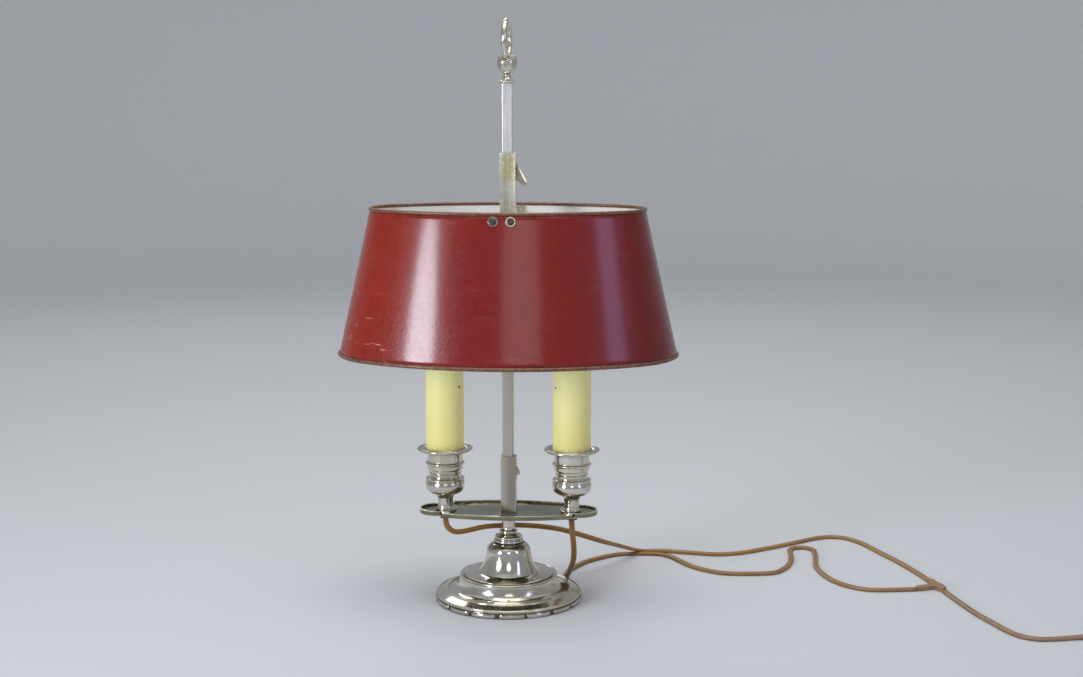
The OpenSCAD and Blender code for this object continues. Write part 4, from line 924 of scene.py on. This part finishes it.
# The ring behind the lappets gets tarnish and painted shade
place(foot_ring, "base", silver_tarnish_and_painted_shade, "foot_band")

# %% [markdown]
# ## Stem, finial and ring
# The stem is a drawn square bar with small chamfers. On top sits a little urn shaped like a closed
# tulip, which carries the ring handle. The urn is turned like the rest, but six valleys run up it and
# its lip dips in each of them. The ring's wire is thin near its crown, where fingers have worn it.

# %% Bar, urn and ring
place_softened(("stem_bar", 0.2, "base", silver_drawn, "silver_plate"))
urn_profile = (
    [(2.1, 499), (7.4, 499), (7.6, 500.4)] + bend((6.4, 501.2), (3.7, 503.4), (3.5, 506.0))
    + bend((4.4, 507.4), (7.4, 509.6), (8.7, 513.8)) + bend((9.4, 516.4), (9.6, 519.4), (8.3, 522.8))
    + [(7.3, 525.0), (6.5, 524.6), (5.6, 521.6), (3.0, 520.8), (0, 520.4), (0, 505), (2.1, 505)]
)
VALLEYS_FROM, LIP_FROM = 507.5, 517  # heights where the valleys and the lip's dips begin
VALLEY_DEPTH, LIP_DIP = 0.11, 3.4  # as a share of the radius, and in millimetres


def petals(r, z, angle):
    valley = abs(math.sin(3 * angle)) ** 3
    swell, tip = min(1.0, max(0.0, (z - VALLEYS_FROM) / 6)), max(0.0, (z - LIP_FROM) / 8)
    return r * (1 - VALLEY_DEPTH * swell * valley), z - LIP_DIP * tip * valley


place(turned("Finial_urn", urn_profile, steps=144, lobes=petals), "base", silver_turned, "finial_urn")

RING_MIDDLE, RING_RADIUS = 539.5, 17.4
RING_TURN = math.radians(-5)
WIRE, UNEVEN, WORN_OFF = 2.55, 0.45, 1.05  # radius of the wire, how far it varies, and what the worn place lost
WORN_AT, WORN_WIDTH = 68, 26  # the worn place in degrees round the ring


def ring_handle(rings=96, around=24):
    points = []
    for k in range(rings):
        t = 2 * math.pi * k / rings
        worn = math.exp(-((math.degrees(t) - WORN_AT) / WORN_WIDTH) ** 2)
        wire = WIRE - UNEVEN * math.cos(t) - WORN_OFF * worn
        for j in range(around):
            out, side = circle(wire, j / around)
            reach = RING_RADIUS + out
            along_y, z = reach * math.cos(t), RING_MIDDLE + reach * math.sin(t)
            points.append((side * math.cos(RING_TURN) - along_y * math.sin(RING_TURN),
                           side * math.sin(RING_TURN) + along_y * math.cos(RING_TURN), z))
    return new_piece("Finial_ring", points, skin(rings, around))


place(ring_handle(), "base", silver_small, "finial_ring")
print("stem, urn and ring in place")

# %% [markdown]
# ## Candle plate, sleeves and levers
# These are cast and filed flat pieces. They keep the exact shapes of the solid model with their edges
# softened, so that what slides and turns in the model still fits in the picture.

# %% Candle plate, sleeves, levers and strap
place_softened(
    ("candle_plate", 0.35, "candle_plate", silver_flat_painted_reflection, "silver_plate"),
    ("lower_sleeve", 0.3, "candle_plate", lower_sleeve_finish, "silver_plate"),
    ("upper_sleeve", 0.5, "shade", upper_sleeve_finish, "silver_plate"),
    ("lower_lever", 0.3, "plate_lever", silver_small, "brass"),
    ("upper_lever", 0.35, "shade_lever", silver_small, "silver_plate"),
    ("shade_strap", 0.3, "shade", silver_flat_painted_reflection, "silver_plate"))
print("flat pieces softened")

# %% [markdown]
# ## Nozzles, drip pans and candles
# Each candle stands in an urn-shaped nozzle with a ribbed collar and a shallow drip pan. Both sides are
# the same turning, made twice round its own axis, so their marks don't mirror each other.

# %% Profiles of a nozzle, a pan, a tube and a bulb
NOZZLE_FOOT, NOZZLE_DRAWN, NOZZLE_HEIGHT = 88.0, 57.3, 58  # the profile is drawn 57.3 high and stretched to 58

nozzle_profile = [(r, NOZZLE_FOOT + z * (NOZZLE_HEIGHT / NOZZLE_DRAWN)) for r, z in (
    [(9, 0), (9, 1.4), (8.6, 2.1)] + bend((7.8, 2.9), (7.1, 5), (7.3, 10))
    + bend((7.8, 12.6), (9.4, 15.4), (12.8, 16.6)) + bend((14.8, 17.4), (19.2, 20), (19.2, 25.4))
    + bend((19.1, 26.4), (18.7, 29), (17.9, 29.8), 4) + arc(17.9, 31.2, 0.75, -80, 90, 6) + [(15.6, 32.6)]
    + bend((15.5, 33.4), (15.1, 34.8), (15.3, 36.2), 4) + arc(15.4, 37.0, 0.55, -80, 90, 5)
    + [(15.5, 38.2), (15.6, 39.6)] + bend((15.9, 40.2), (17.2, 40.5), (17.3, 41.4), 4)
    + [(17.3, 44.6)] + arc(18.0, 46.4, 0.85, -90, 90, 7) + [(17.0, 48.0), (17.0, 57.3)]
    + [(15.4, 57.3), (13.8, 40), (13.8, 32), (16.0, 25), (10.6, 19.5), (5.1, 16), (5.1, 0)]
)]
pan_profile = (
    [(5.1, 146), (19, 146)] + bend((20.8, 146.2), (24.0, 146.4), (26.0, 147.4)) + arc(25.75, 148.75, 1.25, -65, 150, 9)
    + bend((24.0, 148.6), (22.4, 148.0), (20.8, 148.6), 5) + [(19.8, 149.7), (19.1, 149.9), (18.6, 149.7), (5.1, 149.6)]
)
tube_profile = [(17.2, 149.7), (18.35, 149.7), (18.4, 151), (18.4, 180), (18.35, 215), (18.4, 248.8), (18.3, 249.9),
                (17.2, 250.0)]
bulb_profile = (
    bend((12.2, 248), (12.8, 255.4), (15.9, 264.3)) + bend((17.1, 270.2), (18.1, 280.6), (16.1, 289.4))
    + bend((14.1, 296.1), (4, 314), (2, 321))
    + [(0, 322), (0, 316), (2.6, 312), (13.7, 292.4), (15.9, 277.6), (14.1, 262.8), (11.4, 252), (11.4, 248)]
)
print("a nozzle's profile has", len(nozzle_profile), "points, a pan's", len(pan_profile))

# %% Make them for both candles
for side, x in (("left", -CANDLE_X), ("right", CANDLE_X)):
    for name, profile, steps, corner, finish, slot, node in (
            ("Nozzle_", nozzle_profile, 96, 0.25, silver_turned, "silver_plate", "nozzle_"),
            ("Drip_pan_", pan_profile, 96, 0.3, silver_turned, "silver_plate", "pan_"),
            ("Candle_tube_", tube_profile, 96, 0.35, wax, "candle_sleeve", "tube_"),
            ("Bulb_glass_", bulb_profile, 64, 0.2, glass, "bulb_glass", "bulb_glass_")):
        place(turned(name + side, profile, x, steps, corner=corner), "candle_plate", finish, node + side)
print("nozzles, pans, tubes and bulbs turned")

# %% [markdown]
# ## The oval shade
# The shade's outline is four arcs that meet smoothly: two tight ends and two long, nearly flat sides.
# The wall flares straight outwards, so every level has the same four centres with a larger radius. One
# function gives that outline for any distance out, and the wall and both rolled rims are made from it.

# %% The outline and the wall
END_X, END_R, SIDE_R, SIDE_Y, SIDE_ANGLE = 86.0, 45.0, 214.112, 145.612, 30.567
END_SWEEP, SIDE_SWEEP = 180 - 2 * SIDE_ANGLE, 2 * SIDE_ANGLE
END_STEPS, SIDE_STEPS = 40, 44
SHADE_TOP, SHADE_FOOT, FLARE = 381.0, 243.0, 31.0


def oval(out):
    """Points of the oval and their outward directions, at a distance out from the shade's top edge."""
    rim = []
    for cx, cy, r, start, sweep, steps in (
            (END_X, 0, END_R, SIDE_ANGLE - 90, END_SWEEP, END_STEPS),
            (0, -SIDE_Y, SIDE_R, 90 - SIDE_ANGLE, SIDE_SWEEP, SIDE_STEPS),
            (-END_X, 0, END_R, 90 + SIDE_ANGLE, END_SWEEP, END_STEPS),
            (0, SIDE_Y, SIDE_R, 270 - SIDE_ANGLE, SIDE_SWEEP, SIDE_STEPS)):
        for i in range(steps):
            a = math.radians(start + sweep * i / steps)
            rim.append((cx + (r + out) * math.cos(a), cy + (r + out) * math.sin(a), math.cos(a), math.sin(a)))
    return rim


def shade_wall(rows=26):
    """Two skins, 0.8 mm apart; a hand-rolled wall is never quite even, so it wavers by a fifth of a millimetre."""
    levels = [(i / rows, 0.0) for i in range(rows + 1)] + [(1 - i / rows, -0.8) for i in range(rows + 1)]
    points = []
    for share, offset in levels:
        z = SHADE_TOP + (SHADE_FOOT - SHADE_TOP) * share
        for x, y, nx, ny in oval(FLARE * share + offset):
            waver = 0.22 * math.sin(math.pi * share) * math.sin(x * 0.021 + z * 0.013) * math.cos(y * 0.03 - z * 0.009)
            points.append((x + nx * waver, y + ny * waver, z))
    n = len(points) // len(levels)
    wall = new_piece("Shade_wall", points, skin(len(levels), n))
    inside = [1.0 if face // n > rows else 0.0 for face in range(len(points))]
    wall.data.attributes.new("inside", "FLOAT", "FACE").data.foreach_set("value", inside)
    return wall


def rolled_rim(name, out, z, radius, around=16):
    outline = oval(out)
    points = []
    for x, y, nx, ny in outline:
        for level in range(around):
            reach, up = circle(radius, level / around)
            points.append((x + nx * reach, y + ny * reach, z + up))
    return new_piece(name, points, skin(len(outline), around))


place(shade_wall(), "shade", lacquer, "shade_shell")
place(rolled_rim("Shade_top_rim", -0.4, SHADE_TOP, 1.7), "shade", rim_finish, "shade_shell")
place(rolled_rim("Shade_bottom_rim", 30.6, SHADE_FOOT, 1.85), "shade", rim_finish, "shade_shell")
print("shade wall and two rims")

# %% [markdown]
# ## Screws of the shade strap
# Four slotted screws hold the strap to the shade. One screw is modelled with its washer, and Geometry
# Nodes put a copy on each seat. The seats are four points that carry the direction the wall faces
# there, because the wall leans and every screw has to stand square on it.

# %% One slotted screw, standing on its own origin
def one_screw():
    head = turned("Screw_head", [(0, 0.8), (3.6, 0.8), (3.65, 1.6), (3.3, 2.3), (2.2, 2.9), (0.9, 3.05), (0, 3.05)],
                  steps=40, closed=False, corner=0.2)
    shank = turned("Screw_shank", [(0, -5.9), (1.9, -5.9), (1.95, 0.8), (0, 0.8)], steps=24, closed=False, corner=0.2)
    slot_cut = new_piece("Slot_cut", [(x, y, z) for x in (-5, 5) for y in (-0.45, 0.45) for z in (2.1, 4)],
                         [(0, 1, 3, 2), (4, 6, 7, 5), (0, 4, 5, 1), (2, 3, 7, 6), (0, 2, 6, 4), (1, 5, 7, 3)])
    cutter = head.modifiers.new("Slot", "BOOLEAN")
    cutter.operation, cutter.object, cutter.solver = "DIFFERENCE", slot_cut, "EXACT"
    return head, shank, slot_cut


head, shank, slot_cut = one_screw()
print("a screw's head has", len(head.data.vertices), "points before its slot is cut")

# %% The four seats, as the solid model has them
SCREW_Z = 374.5
SCREW_X = 8  # distance of a screw from the middle of the shade


def screw_seats():
    """A mesh of four points that carry the outward direction of the wall."""
    slope = FLARE / (SHADE_TOP - SHADE_FOOT)
    lean = math.atan(slope)
    out = SIDE_R + slope * (SHADE_TOP - SCREW_Z)
    seats, directions = [], []
    for back in (0, 180):
        turn_back = math.radians(back)
        cx, cy = -SIDE_Y * math.sin(turn_back), SIDE_Y * math.cos(turn_back)
        for side in (-1, 1):
            a = math.radians(back + side * math.degrees(math.asin(SCREW_X / SIDE_R)))
            nx, ny = math.sin(a), -math.cos(a)
            seats.append([c * MM for c in (cx + out * nx, cy + out * ny, SCREW_Z)])
            directions += [nx * math.cos(lean), ny * math.cos(lean), math.sin(lean)]
    mesh = bpy.data.meshes.new("Screw_seats")
    mesh.from_pydata(seats, [], [])
    mesh.attributes.new("facing", "FLOAT_VECTOR", "POINT").data.foreach_set("vector", directions)
    return mesh


seated = Group("Geometry", "Repeat on seats", {"Geometry": "Geometry", "Piece": "Object", "Seed": "Int",
                                               "Finish": "Material"}, {"Geometry": "Geometry"})
facing = seated.add("GeometryNodeInputNamedAttribute", {"Name": "facing"}, data_type="FLOAT_VECTOR").outputs[0]
upright = seated.add("FunctionNodeAlignRotationToVector", {"Vector": facing}, axis="Z").outputs[0]
spin = seated.add("CombineXYZ", {"Z": random_value(seated, -1.2, 1.2)}).outputs[0]
turned_head = seated.add("FunctionNodeRotateRotation", {0: upright, 1: spin}, rotation_space="LOCAL").outputs[0]
put_copies(seated, Points=seated.given["Geometry"], Rotation=turned_head)
print(seated.tree.name, "from", len(seated.tree.nodes), "nodes")

# %% Screws and washers on their seats
washer = turned("One_washer", [(2.2, 0.02), (4.55, 0.02), (4.7, 0.35), (4.5, 0.78), (2.2, 0.78)], steps=40, corner=0.15)
for name, model, seed, finish, slot, node in (
        ("Strap_screws", head, 3, dark_steel, "dark_steel", "strap_screws"),
        ("Strap_screw_shanks", shank, 3, steel, "dark_steel", "strap_screws"),
        ("Strap_washers", washer, 5, silver_turned, "silver_plate", "strap_washers")):
    copies = grown(name, seated, screw_seats(), Piece=model, Seed=seed, Finish=finish.material)
    place(copies, "shade", None, node)
for used in (head, shank, slot_cut, washer):
    bpy.data.objects.remove(used)

# %% [markdown]
# ## Switch, plug and joint
# The rocker switch and the plug are black mouldings. Their strain reliefs are tapered and ribbed so
# that the cord bends gently where it comes out. The ribs follow a straight line with a shrinking
# radius, which Geometry Nodes do with one ring, one count and two radii.

# %% Soften the mouldings and the joint
mouldings = place_softened(
    ("switch_base", 0.7, "base", black_plastic, "black_plastic"),
    ("switch_cover", 0.7, "base", black_plastic, "black_plastic"),
    ("switch_rocker", 0.35, "switch_rocker", ivory_plastic, "switch_ivory"),
    ("plug_body", 1.0, "base", black_plastic, "black_plastic"),
    ("plug_pins", 0.5, "base", brass, "brass"))
cord_joint = place(softened("lead_splice", 0.9, "Cord_joint"), "base", tape, "lead_splice")
mouldings += place_softened(("coil_tie", 0.3, "base", black_plastic, "black_plastic"))

# Where a round relief leaves its flat wall the buffed edge swells a little past the table, so it is pressed flat
switch_base = mouldings[0]
pressed = baked(switch_base)
for point in pressed.vertices:
    point.co.z = max(point.co.z, 0.0)
switch_base.modifiers.clear()
switch_base.data = pressed
print(len(mouldings) + 1, "pieces softened")

# %% Ribs of the strain reliefs
taper = Group("Geometry", "Ribs along a taper",
              {"Geometry": "Geometry", "Piece": "Object", "Count": "Int", "Start": "Vector", "Step": "Vector",
               "First radius": "Float", "Last radius": "Float", "Finish": "Material"}, {"Geometry": "Geometry"})
count = taper.given["Count"]
index = taper.add("GeometryNodeInputIndex").outputs[0]
moved = taper.add("VectorMath", {0: taper.given["Step"], "Scale": index}, operation="SCALE").outputs[0]
where = taper.vector("ADD", taper.given["Start"], moved)
share = taper.math("DIVIDE", index, taper.math("SUBTRACT", count, 1.0))
size = taper.spread(share, 0, 1, taper.given["First radius"], taper.given["Last radius"])
put_copies(taper, Points=taper.add("GeometryNodePoints", {"Count": count, "Position": where}).outputs[0],
           Scale=taper.add("CombineXYZ", {"X": 1.0, "Y": size, "Z": size}).outputs[0])


def unit_rib(around=36):
    """A ring round X with a radius of one metre, whose section is a millimetre wide along X."""
    section = [(-0.55, 0.955), (-0.4, 1.06), (0.0, 1.09), (0.4, 1.06), (0.55, 0.955)]
    points = [(x, *circle(r * 1000, k / around)) for k in range(around) for x, r in section]
    return new_piece("Unit_rib", points, skin(around, len(section)))


rib = unit_rib()
for name, start, step, first, final, node in (
        ("Ribs_switch_left", (0.5625, -0.095, 0.004), (-0.0028, 0, 0), 3.66, 2.72, "switch_base"),
        ("Ribs_switch_right", (0.6175, -0.095, 0.004), (0.0028, 0, 0), 3.66, 2.72, "switch_base"),
        ("Ribs_plug", (0.5628, -0.230, 0.007), (0.0028, 0, 0), 4.5, 2.9, "plug_body")):
    ribs = grown(name, taper, Piece=rib, Count=6, Start=start, Step=step, First_radius=first * MM,
                 Last_radius=final * MM, Finish=black_plastic.material)
    place(ribs, "base", None, node)
bpy.data.objects.remove(rib)

# %% Finishes for the pieces that keep the solid model's own mesh
kept = (
    (brass, "stem_nut nozzle_nipples nipple_nuts holder_shells holder_contacts tube_pins"),
    (steel, "stem_washer lower_lever_pin lower_lever_spring upper_lever_pin upper_lever_spring nipple_washers"),
    (steel, "bulb_caps strap_nuts rocker_pin cord_screws"), (dark_steel, "base_cover"), (cast_iron, "ballast_weight"),
    (felt, "felt_pad"), (porcelain, "holder_left holder_right"), (filament, "bulb_filaments"),
    (black_plastic, "cord_bushings"), (brown_cord, "inner_wires"))
for finish, nodes in kept:
    for node in nodes.split():
        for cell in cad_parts[node].material_slots:
            cell.link = "OBJECT"
            cell.material = finish.material
print(sum(len(nodes.split()) for _, nodes in kept), "nodes keep their own mesh")

# %% [markdown]
# ## Cord lengths
# Each cord's length is measured along its own line and printed as it is skinned. There are about 2.05 m
# from the candle plate to the plug, counted along the right lead.
